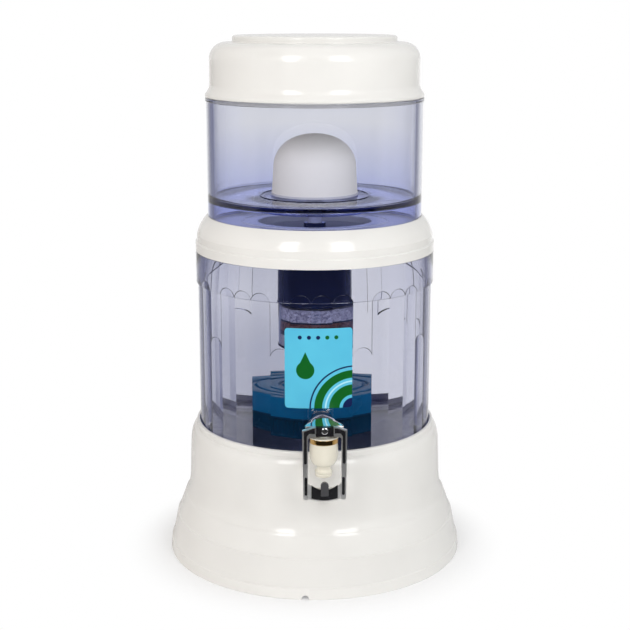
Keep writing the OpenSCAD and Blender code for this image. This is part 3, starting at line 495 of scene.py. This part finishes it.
def base():
    """Three turned pieces: the drum with its recess, the flared foot, and the shelf between them.

    The drain notch lifts the foot's lowest rows by sqrt(n^2 - s^2), where n is the notch's radius and s
    the way round the foot from its middle, and the rows above it close up in proportion.
    """
    rim, foot_r, shelf_in, under = RIM_Z, 150.15, 96.2, SHELF_Z - BASE_WALL
    drum = np.vstack([
        rounded([(RECESS_R, rim, 0.3), (121.0, rim - 0.3, 1.8), (121.2, rim - 5.6, 0.6)], closed=False),
        bend((121.5, rim - 6.0), (125.9, rim - 7.6), (127.2, rim - 21), 16),
        bend((127.2, rim - 21), (127.9, 97), (128.5, 80), 8)[1:],
        bend((128.5, 80), (129.2, 66), (JOIN_R, JOIN_Z), 14)[1:]])
    inner = lining(drum, under)
    profile = np.vstack([drum, inner, [(inner[-1, 0], under), (RECESS_R, under)]])
    piece = mesh_piece("drum_moulding", [(turned(profile), True, True)])
    dress(piece, WHITE, "base", "white_plastic", "base_drum")
    shelf_out = RECESS_R - 0.05
    shelf = rounded([(shelf_in, under, 0.6), (shelf_out, under, 0), (shelf_out, SHELF_Z, 0),
                     (shelf_in, SHELF_Z, 0.6)])
    piece = mesh_piece("shelf_ring", [(turned(shelf, 144), True, True)])
    dress(piece, WHITE, "base", "white_plastic", "base_shelf")
    foot = np.vstack([
        [(JOIN_R, JOIN_Z)], bend((JOIN_R + 0.6, JOIN_Z - 0.6), (138.2, 47.5), (141.4, 38.2), 10),
        bend((142.6, 37.2), (145.6, 22.5), (148.2, 11.4), 10),
        rounded([(149.2, 10.4, 0), (foot_r, 0.6, 0.6), (foot_r - 0.4, 0, 0)], closed=False)])
    inner = lining(foot, 100)
    inner[0, 1] = 0
    profile = np.vstack([foot, inner])
    notch_r, notch_a, closes_up = 3.5, math.radians(-6.8), 9
    even = np.linspace(-np.pi, np.pi, 288, endpoint=False)
    u = np.unique(np.concatenate([even, notch_a + np.linspace(-1, 1, 41) * (notch_r + 0.2) / foot_r]))
    s = (u - notch_a) * foot_r
    rise = np.sqrt(np.clip(notch_r**2 - s**2, 0, None)) + 0.7 * (np.abs(s) < notch_r)
    r, z = profile[:, 0, None], profile[:, 1, None]
    z = z + rise * np.clip(1 - z / closes_up, 0, 1)
    points = np.stack([r * np.sin(u), -r * np.cos(u), z], -1)
    piece = mesh_piece("foot_moulding", [(points, True, True)])
    dress(piece, WHITE, "base", "white_plastic", "base_foot")


def gussets():
    """Twelve ribs under the shelf, each a four-sided plate between two radii, turned round the axis."""
    in_r, out_r, half_t, count, tall, short = 97.2, 123.6, 1.6, 12, 34, 4.1
    top = SHELF_Z - BASE_WALL - 0.05
    x, z = np.array([(in_r, top), (out_r, top), (out_r, top - tall), (in_r, top - short)]).T
    plates = []
    for a in (np.arange(count) + 0.5) * 2 * np.pi / count:
        c, s = np.cos(a), np.sin(a)
        faces = [np.stack([x * c - w * s, x * s + w * c, z], -1) for w in (-half_t, half_t)]
        plates.append(np.array(faces))
    piece = plate_piece("gusset_ribs", plates)
    return dress(piece, WHITE, "base", "white_plastic", "shelf_gussets")


# ---------------------------------------------------------------- clear tanks

TANK_R, BAND_R, PANE_R, INNER_R = 117.0, 118.8, 110.4, 111.6
PANES, SHORT_EVERY, SHORT_PHASE = 36, 4, 2
ARCH_Z, SHORT_ARCH_Z = SHOULDER_Z - 25.0, SHOULDER_Z - 77.0


def pane_columns():
    """Angles of the tank's columns, each with the distance of its flat pane and the height of its arch.

    On a pane, x = R tan(u) runs from edge to edge; the arch's edge is z = top - a + sqrt(a^2 - x^2)
    for an arch of radius a, which is a little wider than the pane.
    """
    half, per_pane = math.pi / PANES, 14
    a = PANE_R * math.tan(half) + 0.2
    t = np.sin(np.linspace(-np.pi / 2, np.pi / 2, per_pane))
    x = PANE_R * math.tan(half) * t
    middle = np.arange(PANES)[:, None] * 2 * half
    u = (middle + np.arctan(x / PANE_R)).ravel()
    radius = np.tile(np.hypot(PANE_R, x), PANES)
    top = np.where(np.arange(PANES) % SHORT_EVERY == SHORT_PHASE, SHORT_ARCH_Z, ARCH_Z)
    arch = (top[:, None] - a + np.sqrt(a**2 - x**2)).ravel()
    return u, radius, arch


def lower_tank():
    """A thick vessel: round outside with a band under the shoulder, flat panes with round tops inside.

    The outside and the rim are turned. Inside, rows follow each column's own arch height, so that the
    arch's edge is one soft step of sin(a), and run down the pane to a fillet at the floor.
    """
    rim_r, rim_h, band_h, edge, fillet = 116.3, 10, 32.2, 0.3, 1.6
    u, pane, arch = pane_columns()
    one = np.ones_like(u)
    outside = rounded([(0, SHELF_Z, 0), (100, SHELF_Z, 0), (TANK_R, SHELF_Z, 0.9),
                       (TANK_R, SHOULDER_Z - band_h, 0.3), (BAND_R, SHOULDER_Z - band_h + 0.8, 0.4),
                       (BAND_R, SHOULDER_Z, 0.5), (rim_r, SHOULDER_Z, 0.3), (rim_r, SHOULDER_Z + rim_h, 0.8),
                       (INNER_R, SHOULDER_Z + rim_h, 0.7), (INNER_R, ARCH_Z + 1.5, 0)], closed=False)
    rows = [(r * one, z * one) for r, z in outside]
    for a in np.linspace(np.pi / 2, -np.pi / 2, 9):
        rows.append((pane + (INNER_R - pane) * (1 + np.sin(a)) / 2, arch + edge * np.sin(a)))
    for share in (0.75, 0.5, 0.25):
        rows.append((pane, FLOOR_Z + 1.8 + (arch - FLOOR_Z - 2.2) * share))
    for a in np.linspace(np.pi / 2, 0, 9):
        rows.append((pane - fillet * (1 - np.sin(a)), FLOOR_Z + fillet * (1 - np.cos(a)) * one))
    rows += [(40 * one, FLOOR_Z * one), (0 * one, FLOOR_Z * one)]
    r = np.array([row[0] for row in rows])
    z = np.array([row[1] for row in rows])
    points = np.stack([r * np.sin(u), -r * np.cos(u), z], -1)
    piece = mesh_piece("lower_tank_wall", [(points, False, True)], sharp=8.5)
    return dress(piece, LOWER_CLEAR, "lower_tank", "smoke_clear", "lower_tank")


def upper_tank():
    """Turned: a plain wall with a flange, a floor with a raised ring, a ring rib and a skirt under it."""
    out, inner, skirt, hole, flange = 106.0, 99.5, 102.75, 7.4, 107
    rib, rib_t, bead, bead_h = 53.5, 3, 54, 0.8
    under = WATER_Z - 3.5
    skirt_low, rib_low, flange_low = SEAT_Z - 2.4, under - 8.7, BRIM_Z - 3.5
    profile = rounded([(hole, under, 0.3), (rib - rib_t, under, 1), (rib - rib_t, rib_low, 0.5),
                       (rib, rib_low, 0.5), (rib, under, 1), (inner, under, 1.5), (inner, skirt_low, 0.5),
                       (skirt, skirt_low, 0.3), (skirt, SEAT_Z, 0.2), (out, SEAT_Z, 0.4),
                       (out, flange_low, 0.4), (flange, flange_low + 0.5, 0.3), (flange, BRIM_Z, 0.5),
                       (inner, BRIM_Z, 0.4), (inner, WATER_Z, 3), (bead + 1, WATER_Z, 0.2),
                       (bead + 0.5, WATER_Z + bead_h, 0.2), (bead - 0.5, WATER_Z + bead_h, 0.2),
                       (bead - 1, WATER_Z, 0.2), (hole, WATER_Z, 0.3)])
    piece = mesh_piece("upper_tank_wall", [(turned(profile), True, True)])
    return dress(piece, UPPER_CLEAR, "upper_tank", "blue_tint_clear", "upper_tank")


# ---------------------------------------------------------------- dome and cartridge

def dome():
    """Turned: a nearly straight side under a full crown, round a hollow of even thickness.

    The crown is a quarter of a superellipse, r = a cos(t)^(2/n) and z = h sin(t)^(2/n).
    """
    foot, n = WATER_Z + 3.2, 2.15
    foot_r, side_r, side_h, crown_h, wall = 42.4, 41, 24, 33.5, 6
    t = np.linspace(0, np.pi / 2, 36)

    def skin(d):
        r = (side_r - d) * np.cos(t) ** (2 / n)
        z = side_h + (crown_h - d) * np.sin(t) ** (2 / n)
        return np.vstack([[(foot_r - d, 0)], np.stack([r, z], 1)])

    profile = lifted(np.vstack([skin(0), skin(wall)[::-1]]), foot)
    piece = mesh_piece("dome_ceramic", [(turned(profile, 144), True, True)])
    return dress(piece, CERAMIC, "upper_tank", "ceramic", "ceramic_dome")


def cartridge():
    """Turned: a navy cap with round shoulders and a neck, over a clear housing."""
    r, h, inner, thick = 37.5, 71.3, 35.3, 2.2
    neck, bore, drip, neck_top = 11, 7.1, 4, h + 11.5
    cap = lifted(rounded([(inner, 0, 0.3), (r + 0.5, 0, 0.4), (r + 0.5, 1.6, 0.4), (r, 2.0, 0.3), (r, h, 8),
                          (neck, h, 1), (neck, neck_top, 0.6), (bore, neck_top, 0.3), (bore, h + 1, 0.2),
                          (drip, h + 1, 0.2), (drip, h - thick, 0.3), (inner, h - thick, 6)]), CAP_Z)
    piece = mesh_piece("cartridge_cap_shell", [(turned(cap, 144), True, True)])
    dress(piece, NAVY, "upper_tank", "navy_plastic", "cartridge_cap")
    foot, inner, outer, collar_r = low("cartridge_housing"), 34.8, 37, 35.2
    top = CAP_Z - foot - 0.3
    lip = CAP_Z - foot + 6
    wall = lifted(rounded([(inner, 0, 0.3), (outer, 0, 0.4), (outer, top, 0.3), (collar_r, top, 0.3),
                           (collar_r, lip, 0.3), (inner, lip, 0.1)]), foot)
    piece = mesh_piece("cartridge_housing_wall", [(turned(wall, 144), True, True)])
    dress(piece, HOUSING_CLEAR, "upper_tank", "housing_clear", "cartridge_housing")


# ---------------------------------------------------------------- mineral pot

def pot():
    """Turned lid with five ring grooves, and a basket whose side has fine upright ribs.

    The basket's radius dips by depth (1 - cos(n u)) / 2 between its ribs, fading out above and below.
    """
    r, inner, h = 64.7, 62.5, high("pot_lid") - POT_Z
    pitch, rings, groove, thick = 7.5, 5, 1.2, 3
    top = [(inner, 0, 0.2), (r, 0, 0.3), (r, h, 1.2)]
    for ring in r - pitch * np.arange(1, rings + 1):
        top += [(ring + groove, h, 0.5), (ring + 0.5, h - groove, 0.4),
                (ring - 0.5, h - groove, 0.4), (ring - groove, h, 0.5)]
    top += [(0, h, 0), (0, h - thick, 0), (inner, h - thick, 1)]
    piece = mesh_piece("pot_lid_shell", [(turned(lifted(rounded(top, 6), POT_Z), 192), True, True)])
    dress(piece, POT_BLUE, "mineral_pot", "blue_clear", "pot_lid")
    ribs, depth = 144, 1.1
    side, flange, inside, floor_t = 60, 64.4, 57.8, 2
    u = np.linspace(0, 2 * np.pi, ribs * 6, endpoint=False)
    tall = POT_Z - FLOOR_Z
    neck = tall + 10
    profile = rounded([(0, 0, 0), (side, 0, 0.6), (side, 2.2, 0), (side, 3.4, 0), (side, 10, 0),
                       (side, tall - 4.4, 0), (side, tall - 3.2, 0), (side, tall - 2, 0),
                       (flange, tall - 2, 0.3), (flange, tall, 0.3), (side, tall, 0.3), (side, neck, 0.5),
                       (inside, neck, 0.5), (inside, floor_t, 1), (0, floor_t, 0)], 6, closed=False)
    r, z = profile[:, 0, None], profile[:, 1, None]
    fade = ((z > 2.3) & (z < tall - 3.3) & (r > side - 1)) * 1.0
    r = r - depth * fade * (1 - np.cos(ribs * u)) / 2
    points = np.stack([r * np.sin(u), -r * np.cos(u), np.broadcast_to(z + FLOOR_Z, r.shape)], -1)
    piece = mesh_piece("pot_basket_wall", [(points, False, True)])
    dress(piece, BASKET_BLUE, "mineral_pot", "blue_clear", "pot_basket")


# ---------------------------------------------------------------- label

LABEL_LEFT, LABEL_RIGHT = -34.75, 28.55


def label():
    """A thin film round the tank: x runs over the label's width, and u = asin(x / R) round the tank."""
    x = LABEL_LEFT + (LABEL_RIGHT - LABEL_LEFT) * np.linspace(0, 1, 129)
    r_out, r_in, corner = TANK_R + 0.28, TANK_R + 0.08, 3.0
    z_low, z_high = low("front_label"), high("front_label")
    inset = np.minimum(x - LABEL_LEFT, LABEL_RIGHT - x)
    short = corner - np.sqrt(np.clip(corner**2 - np.clip(corner - inset, 0, corner) ** 2, 0, None))
    s = np.linspace(0, 1, 77)[:, None]
    z = (z_low + short) * (1 - s) + (z_high - short) * s
    u = np.broadcast_to(np.arcsin(x / r_out), z.shape)
    front = np.stack([r_out * np.sin(u), -r_out * np.cos(u), z], -1)
    back = np.stack([r_in * np.sin(u), -r_in * np.cos(u), z], -1)
    loop = np.concatenate([front, back[::-1]], 0)
    ends = [(np.stack([front[:, k], back[:, k]]), False, False) for k in (0, -1)]
    piece = mesh_piece("label_film", [(loop, True, False)] + ends)
    return dress(piece, label_print(), "lower_tank", "label_print", "front_label")


def label_print():
    """A printed design on the label: a drop, a row of dots and quarter rings on a sky-blue ground.

    With s and t the millimetres from the label's lower left corner, each form is a range of distances,
    softened over blur either way. The drop is a disc under a tip whose width shrinks with its height.
    """
    f = Finish("label_print")
    x, _, z = f.place()
    s = x / MM - LABEL_LEFT
    t = z / MM - low("front_label")
    sky, pale = rgb(0.10, 0.56, 0.78), rgb(0.45, 0.80, 0.90)
    navy, green = rgb(0.002, 0.012, 0.09), rgb(0.0, 0.13, 0.012)
    blur = 0.15

    def distance(cx, cy):
        return ((s - cx) * (s - cx) + (t - cy) * (t - cy)).math("SQRT")

    def beyond(d, limit):
        return d.step(limit - blur, limit + blur)

    def band(d, inner, outer):
        return beyond(d, inner) * (1 - beyond(d, outer))

    colour = f.mix(f.noise(25, 2).step(0.3, 0.8), sky, rgb(0.085, 0.50, 0.74))
    rings = distance(LABEL_RIGHT - LABEL_LEFT, 0)
    for inner, outer, ink in ((0, 9, navy), (12, 22, green), (24.5, 26, pale), (28.5, 36, green),
                              (39, 40.5, navy)):
        colour = f.mix(band(rings, inner, outer), colour, ink)
    drop_x, drop_y, drop_r = 19, 37, 8.5
    round_part = 1 - beyond(distance(drop_x, drop_y), drop_r)
    above = (t - drop_y) / (drop_r * 2.1)
    width = drop_r * (1 - above) * (1 - above * above * 0.15)
    side = (s - drop_x).math("ABSOLUTE")
    tip = (1 - beyond(side - width * 0.97, 0)) * above.step(0.18, 0.2) * (1 - above.step(0.97, 0.99))
    colour = f.mix((round_part + tip).clamp(), colour, green)
    dot_x, dot_pitch, dot_y, dot_r = 14, 8.5, 68.5, 1.9
    for i, ink in enumerate((navy, navy, navy, green, green)):
        colour = f.mix(1 - beyond(distance(dot_x + dot_pitch * i, dot_y), dot_r), colour, ink)
    shader = f.surface(Base_Color=colour, Roughness=0.28 + 0.06 * f.noise(80), IOR=1.45,
                       Normal=f.bump(f.noise(500, 2), 0.2, 0.00002))
    return f.done(shader)


# ---------------------------------------------------------------- tap

TAP_Z = PIN_Z - 5.4


def spout():
    """Turned about the spout's own axis: a round bulb, a waist, and a nozzle with a groove.

    Heights are from the tap's axis. The ring sits in a recess under the lip.
    """
    top, lip_low, ring_low, bulb_low, nozzle = -1.2, -2.3, -7.3, -31.6, -41.2
    lip, recess, bulb, waist, nozzle_r, groove = 14.3, 12.1, 12.9, 6.5, 8, 7.5
    socket, seat, spigot, chamber, bore = -5.25, -11.8, 9.95, 8.5, 4
    widest, shoulder = (13.5, ring_low - 12.5), (7.4, bulb_low + 1.8)
    outline = np.vstack([
        rounded([(spigot, socket, 0.1), (spigot, top, 0.2), (lip, top, 0.4), (lip, lip_low, 0.4),
                 (recess, lip_low, 0.1), (recess, ring_low, 0.1), (bulb, ring_low, 0)], closed=False),
        bend((bulb, ring_low), (13.7, ring_low - 8), widest, 8),
        bend(widest, (12.3, ring_low - 21.1), shoulder, 14)[1:],
        bend(shoulder, (waist, bulb_low + 0.6), (waist, bulb_low - 0.8), 6)[1:],
        bend((waist, bulb_low - 0.8), (6.7, bulb_low - 2.6), (nozzle_r, nozzle + 6.2), 8)[1:],
        rounded([(nozzle_r, nozzle + 6.2, 0), (nozzle_r, nozzle + 4.4, 0.3), (groove, nozzle + 3.9, 0.2),
                 (groove, nozzle + 3.5, 0.2), (nozzle_r, nozzle + 3.0, 0.3), (7.8, nozzle + 1.0, 0.8),
                 (5.6, nozzle, 0.8), (bore, nozzle, 0.4), (bore, seat, 0.2), (chamber, seat, 0.3),
                 (chamber, socket, 0.1)], closed=False)])
    grid = turned(lifted(outline, TAP_Z), 96, (0, SPOUT_Y))
    piece = mesh_piece("spout_bulb", [(grid, True, True)])
    dress(piece, IVORY, "lower_tank", "ivory_plastic", "tap_spout")
    ring_in, ring_out, ring_top = recess + 0.05, 13.7, lip_low - 0.05
    ring = rounded([(ring_in, ring_low, 0.2), (ring_out, ring_low, 0.5), (ring_out, ring_top, 0.5),
                    (ring_in, ring_top, 0.2)], 6)
    piece = mesh_piece("spout_band", [(turned(lifted(ring, TAP_Z), 96, (0, SPOUT_Y)), True, True)])
    dress(piece, GOLD, "lower_tank", "gold_ring", "spout_ring")


def hood():
    """A cover on the tap's body: round at the tank, and widening to the lever, with a slightly domed top.

    Over v forwards from the tank, from 0 to 1, half the width is b sqrt(1 - (1 - v / c)^2) up to v = c,
    and grows from b to the front's along a sine beyond it. Across it, with x = half sin(a), the top
    rises by edge cos(a)^0.3, and by crown cos(a)^1.4 times cos(v pi / 2), which is level at the front.
    """
    under, back, front = low("tap_hood"), -121.6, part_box("tap_hood")[0].y / MM
    half_back, half_front, c = 11.2, 17.6, 0.45
    side, edge, crown, lap = 0.5, 0.7, 1.1, 0.6
    to_c = c * (1 - np.cos(np.linspace(0.02, np.pi / 2, 24)))
    v = np.concatenate([to_c, np.linspace(c, 1, 16)[1:]])[:, None]
    a = np.linspace(-np.pi / 2, np.pi / 2, 61)
    round_back = half_back * np.sqrt(np.clip(1 - (1 - np.minimum(v, c) / c) ** 2, 0, 1))
    past_c = np.clip((v - c) / (1 - c), 0, 1)
    x = (round_back + (half_front - half_back) * np.sin(past_c * np.pi / 2) ** 1.3) * np.sin(a)
    y = np.broadcast_to(back + (front + lap - back) * v, x.shape)
    top = under + side + edge * np.cos(a) ** 0.3 + crown * np.cos(a) ** 1.4 * np.cos(v * np.pi / 2)
    upper = np.stack([x, y, top], -1)
    lower = np.stack([x, y, np.full(x.shape, under)], -1)
    loop = np.concatenate([upper, lower[:, ::-1]], 1)
    ends = [(np.stack([upper[k], lower[k]]), False, False) for k in (0, -1)]
    piece = mesh_piece("hood_dome", [(loop, False, True)] + ends, sharp=50)
    return dress(piece, CHROME, "lower_tank", "tap_chrome", "tap_hood")


def soft_copies():
    """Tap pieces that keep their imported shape, with their edges rounded."""
    for node, width, material, body, slot in (
            ("tap_body", 0.25, CHROME, "lower_tank", "tap_chrome"),
            ("tap_nose", 0.35, BLACK, "lower_tank", "black_plastic"),
            ("tap_lever", 0.3, SATIN, "tap_lever", "tap_chrome"),
            ("lever_inlays", 0.12, BLACK, "tap_lever", "black_plastic"),
            ("paddle_pad", 0.15, BLACK, "tap_lever", "black_plastic"),
            ("paddle_rib", 0.3, GREY, "tap_lever", "grey_plastic")):
        dress(softened(node, width), material, body, slot, node)


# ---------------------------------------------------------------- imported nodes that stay

KEPT = {
    "tap_screw": STEEL, "outer_washer": SILICONE, "inner_washer": SILICONE, "tail_nut": BASKET_BLUE,
    "lever_pins": STEEL, "valve_diaphragm": SILICONE, "valve_stem": IVORY, "valve_seal": SILICONE,
    "valve_spring": STEEL, "mineral_stones": STONE, "dome_base": PALE, "dome_washer": SILICONE,
    "stem_washer": SILICONE, "stem_nut": NAVY, "cartridge_foot": NAVY, "media_silica": SILICA,
    "media_pad_upper": FELT, "media_mineral": GRANULES, "media_pad_lower": FELT, "media_carbon": CARBON,
    "media_sand": SAND,
}


def kept_nodes():
    """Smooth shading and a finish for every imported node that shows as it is."""
    for node, material in KEPT.items():
        mesh = frame["nodes"][node].data
        mesh.polygons.foreach_set("use_smooth", np.ones(len(mesh.polygons), bool))
        mesh.materials.clear()
        mesh.materials.append(material)


# ---------------------------------------------------------------- stage

PAINTED_DUSK = [rgb(0.55, 0.60, 1.0), 0.34]  # painted shade that glass sees beside the object: a colour and its strength


def behind(x, y):
    """1 in directions (x, y) that look past the back of the object, narrower on the left, and 0 elsewhere."""
    return (y + (x * 0.4).math("MINIMUM", 0.0)).step(0.68, 0.93)


def back_half(y):
    """1 in directions that look backwards, and 0 forwards."""
    return y.step(-0.05, 0.15)


def floor():
    """A pale disc: lit like paper near the object, and plain white further out.

    What is seen through or in the object is white behind it only: beside and in front of it the floor
    turns dusky or dark with distance, and on the left dusky nearer too. This is painted shade: the floor
    shows these colours only to refracted and mirrored rays.
    """
    rows = np.stack([np.array([0, 0.4, 0.8, 1.6, 4, 12, 30]) / MM, np.full(7, -0.02)], 1)
    piece = mesh_piece("floor", [(turned(rows, 96), False, True)], closed=False)
    f = Finish("floor_paper")
    x, y, _ = f.place()
    away = (x * x + y * y).math("SQRT")
    x, y = x / away, y / away
    fibre = f.mix(f.noise(3, 2), rgb(0.93, 0.93, 0.93), rgb(0.95, 0.95, 0.95))
    paper = f.surface(Base_Color=fibre, Roughness=0.9)
    white = f.node("Emission", {}, [rgb(1, 1, 1), 1.0])
    dark = f.node("Emission", {}, [rgb(1, 1, 1), 0.03])
    dusk = f.node("Emission", {}, PAINTED_DUSK)
    straight, mirrored, through = f.seen()
    open_back = behind(x, y)
    share = away.step(0.11, 0.2) * (straight + (mirrored + through) * open_back)
    lit = f.node("MixShader", {}, [share, paper, white])
    # Painted shade: to refracted rays on the left the floor turns dusky, darker than it is lit.
    left = (1 - x.step(-0.02, 0.12)) * (1 - away.step(0.9, 1.8))
    lit = f.node("MixShader", {}, [0.38 * left * through, lit, dusk])
    # Painted shade: to mirrored rays ahead and refracted rays not behind, the floor turns dark or dusky.
    ahead = (0 - y).step(0.3, 0.55)
    unlit = (mirrored * ahead + through * (1 - open_back)) * away.step(0.25, 0.45)
    beside = f.node("MixShader", {}, [back_half(y), dark, dusk])
    piece.data.materials.append(f.done(f.node("MixShader", {}, [unlit, lit, beside])))
    if piece.data.polygons[0].normal.z < 0:
        piece.data.flip_normals()


def world():
    """A room for each kind of ray: white where it is seen straight, and brightest at the sides as light.

    Mirrors see it dark in front and pale at the sides, a painted darkness in reflections. Glass sees white
    behind the object, deep blue in front, and dusk between them, painted shade seen through the clear parts.
    """
    bpy.context.scene.world = bpy.data.worlds.new("studio")
    f = Finish("studio", bpy.context.scene.world, "OutputWorld")

    def glow(r, g, b, strength):
        return f.node("Background", {}, [rgb(r, g, b), strength])

    def mix(share, a, b):
        return f.node("MixShader", {}, [share, a, b])

    x, y, _ = f.place("Generated")
    straight, mirrored, through = f.seen()
    sides = mix(x.step(-0.1, 0.1), glow(1, 0.90, 0.80, 0.92), glow(1, 1, 0.98, 0.92))
    light = mix(x * x, glow(0.98, 0.98, 1.0, 0.38), sides)
    # Painted darkness in reflections: mirrors see the room dark in front, darker than the light it gives.
    pale = (x.step(0.35, 0.6) + (0 - x).step(0.65, 0.9) + y.step(-0.2, 0.3)).clamp()
    mirror = mix(pale, glow(1, 1, 1, 0.05), glow(1, 1, 1, 0.8))
    # Painted shade in the glass: deep blue in front and dusk beside the object, for refracted rays only.
    beside = mix(back_half(y), glow(0.12, 0.16, 0.9, 0.12), f.node("Background", {}, PAINTED_DUSK))
    glass = mix(behind(x, y), beside, glow(1, 1, 1, 1))
    plain = mix(straight, light, glow(1, 1, 1, 1))
    f.done(mix(through, mix(mirrored, plain, mirror), glass))


def lamp(name, azimuth, elevation, distance, width, height, power):
    """A soft box that looks at the middle of the object from an azimuth right of the tap."""
    aim = Vector((0, 0, 0.28))
    a, e = math.radians(azimuth), math.radians(elevation)
    data = bpy.data.lights.new(name, "AREA")
    data.shape = "RECTANGLE"
    data.size, data.size_y, data.energy = width, height, power
    box = bpy.data.objects.new(name, data)
    away = Vector((math.sin(a) * math.cos(e), -math.cos(a) * math.cos(e), math.sin(e)))
    box.location = aim + away * distance
    box.rotation_euler = (-away).to_track_quat("-Z", "Y").to_euler()
    bpy.context.scene.collection.objects.link(box)


def camera():
    """Looks down at the object from a little left of the tap's line."""
    distance, height, pitch, heading, aside = 1.2967, 0.5458, 13.19, 3.4, 0.0003
    view_px, focal_px = 630, 1311.7
    data = bpy.data.cameras.new("camera")
    data.sensor_width = 36
    data.lens = focal_px / view_px * data.sensor_width
    data.clip_start, data.clip_end = 0.05, 100
    made = bpy.data.objects.new("camera", data)
    h = math.radians(heading)
    made.location = (-distance * math.sin(h) + aside * math.cos(h),
                     -distance * math.cos(h) - aside * math.sin(h), height)
    made.rotation_euler = (math.radians(90 - pitch), 0, -h)
    bpy.context.scene.collection.objects.link(made)
    bpy.context.scene.camera = made


bpy.context.scene.view_settings.view_transform = "Standard"
camera()
world()
floor()
lamp("left_box", azimuth=-29, elevation=28, distance=1.9, width=0.5, height=1.1, power=9.2)
lamp("right_box", azimuth=24, elevation=28, distance=1.9, width=0.62, height=1.1, power=10.2)
lamp("top_box", azimuth=0, elevation=85, distance=1.6, width=1.2, height=1.2, power=2)
lid()
collar()
base()
gussets()
upper_tank()
lower_tank()
dome()
cartridge()
pot()
label()
spout()
hood()
soft_copies()
kept_nodes()
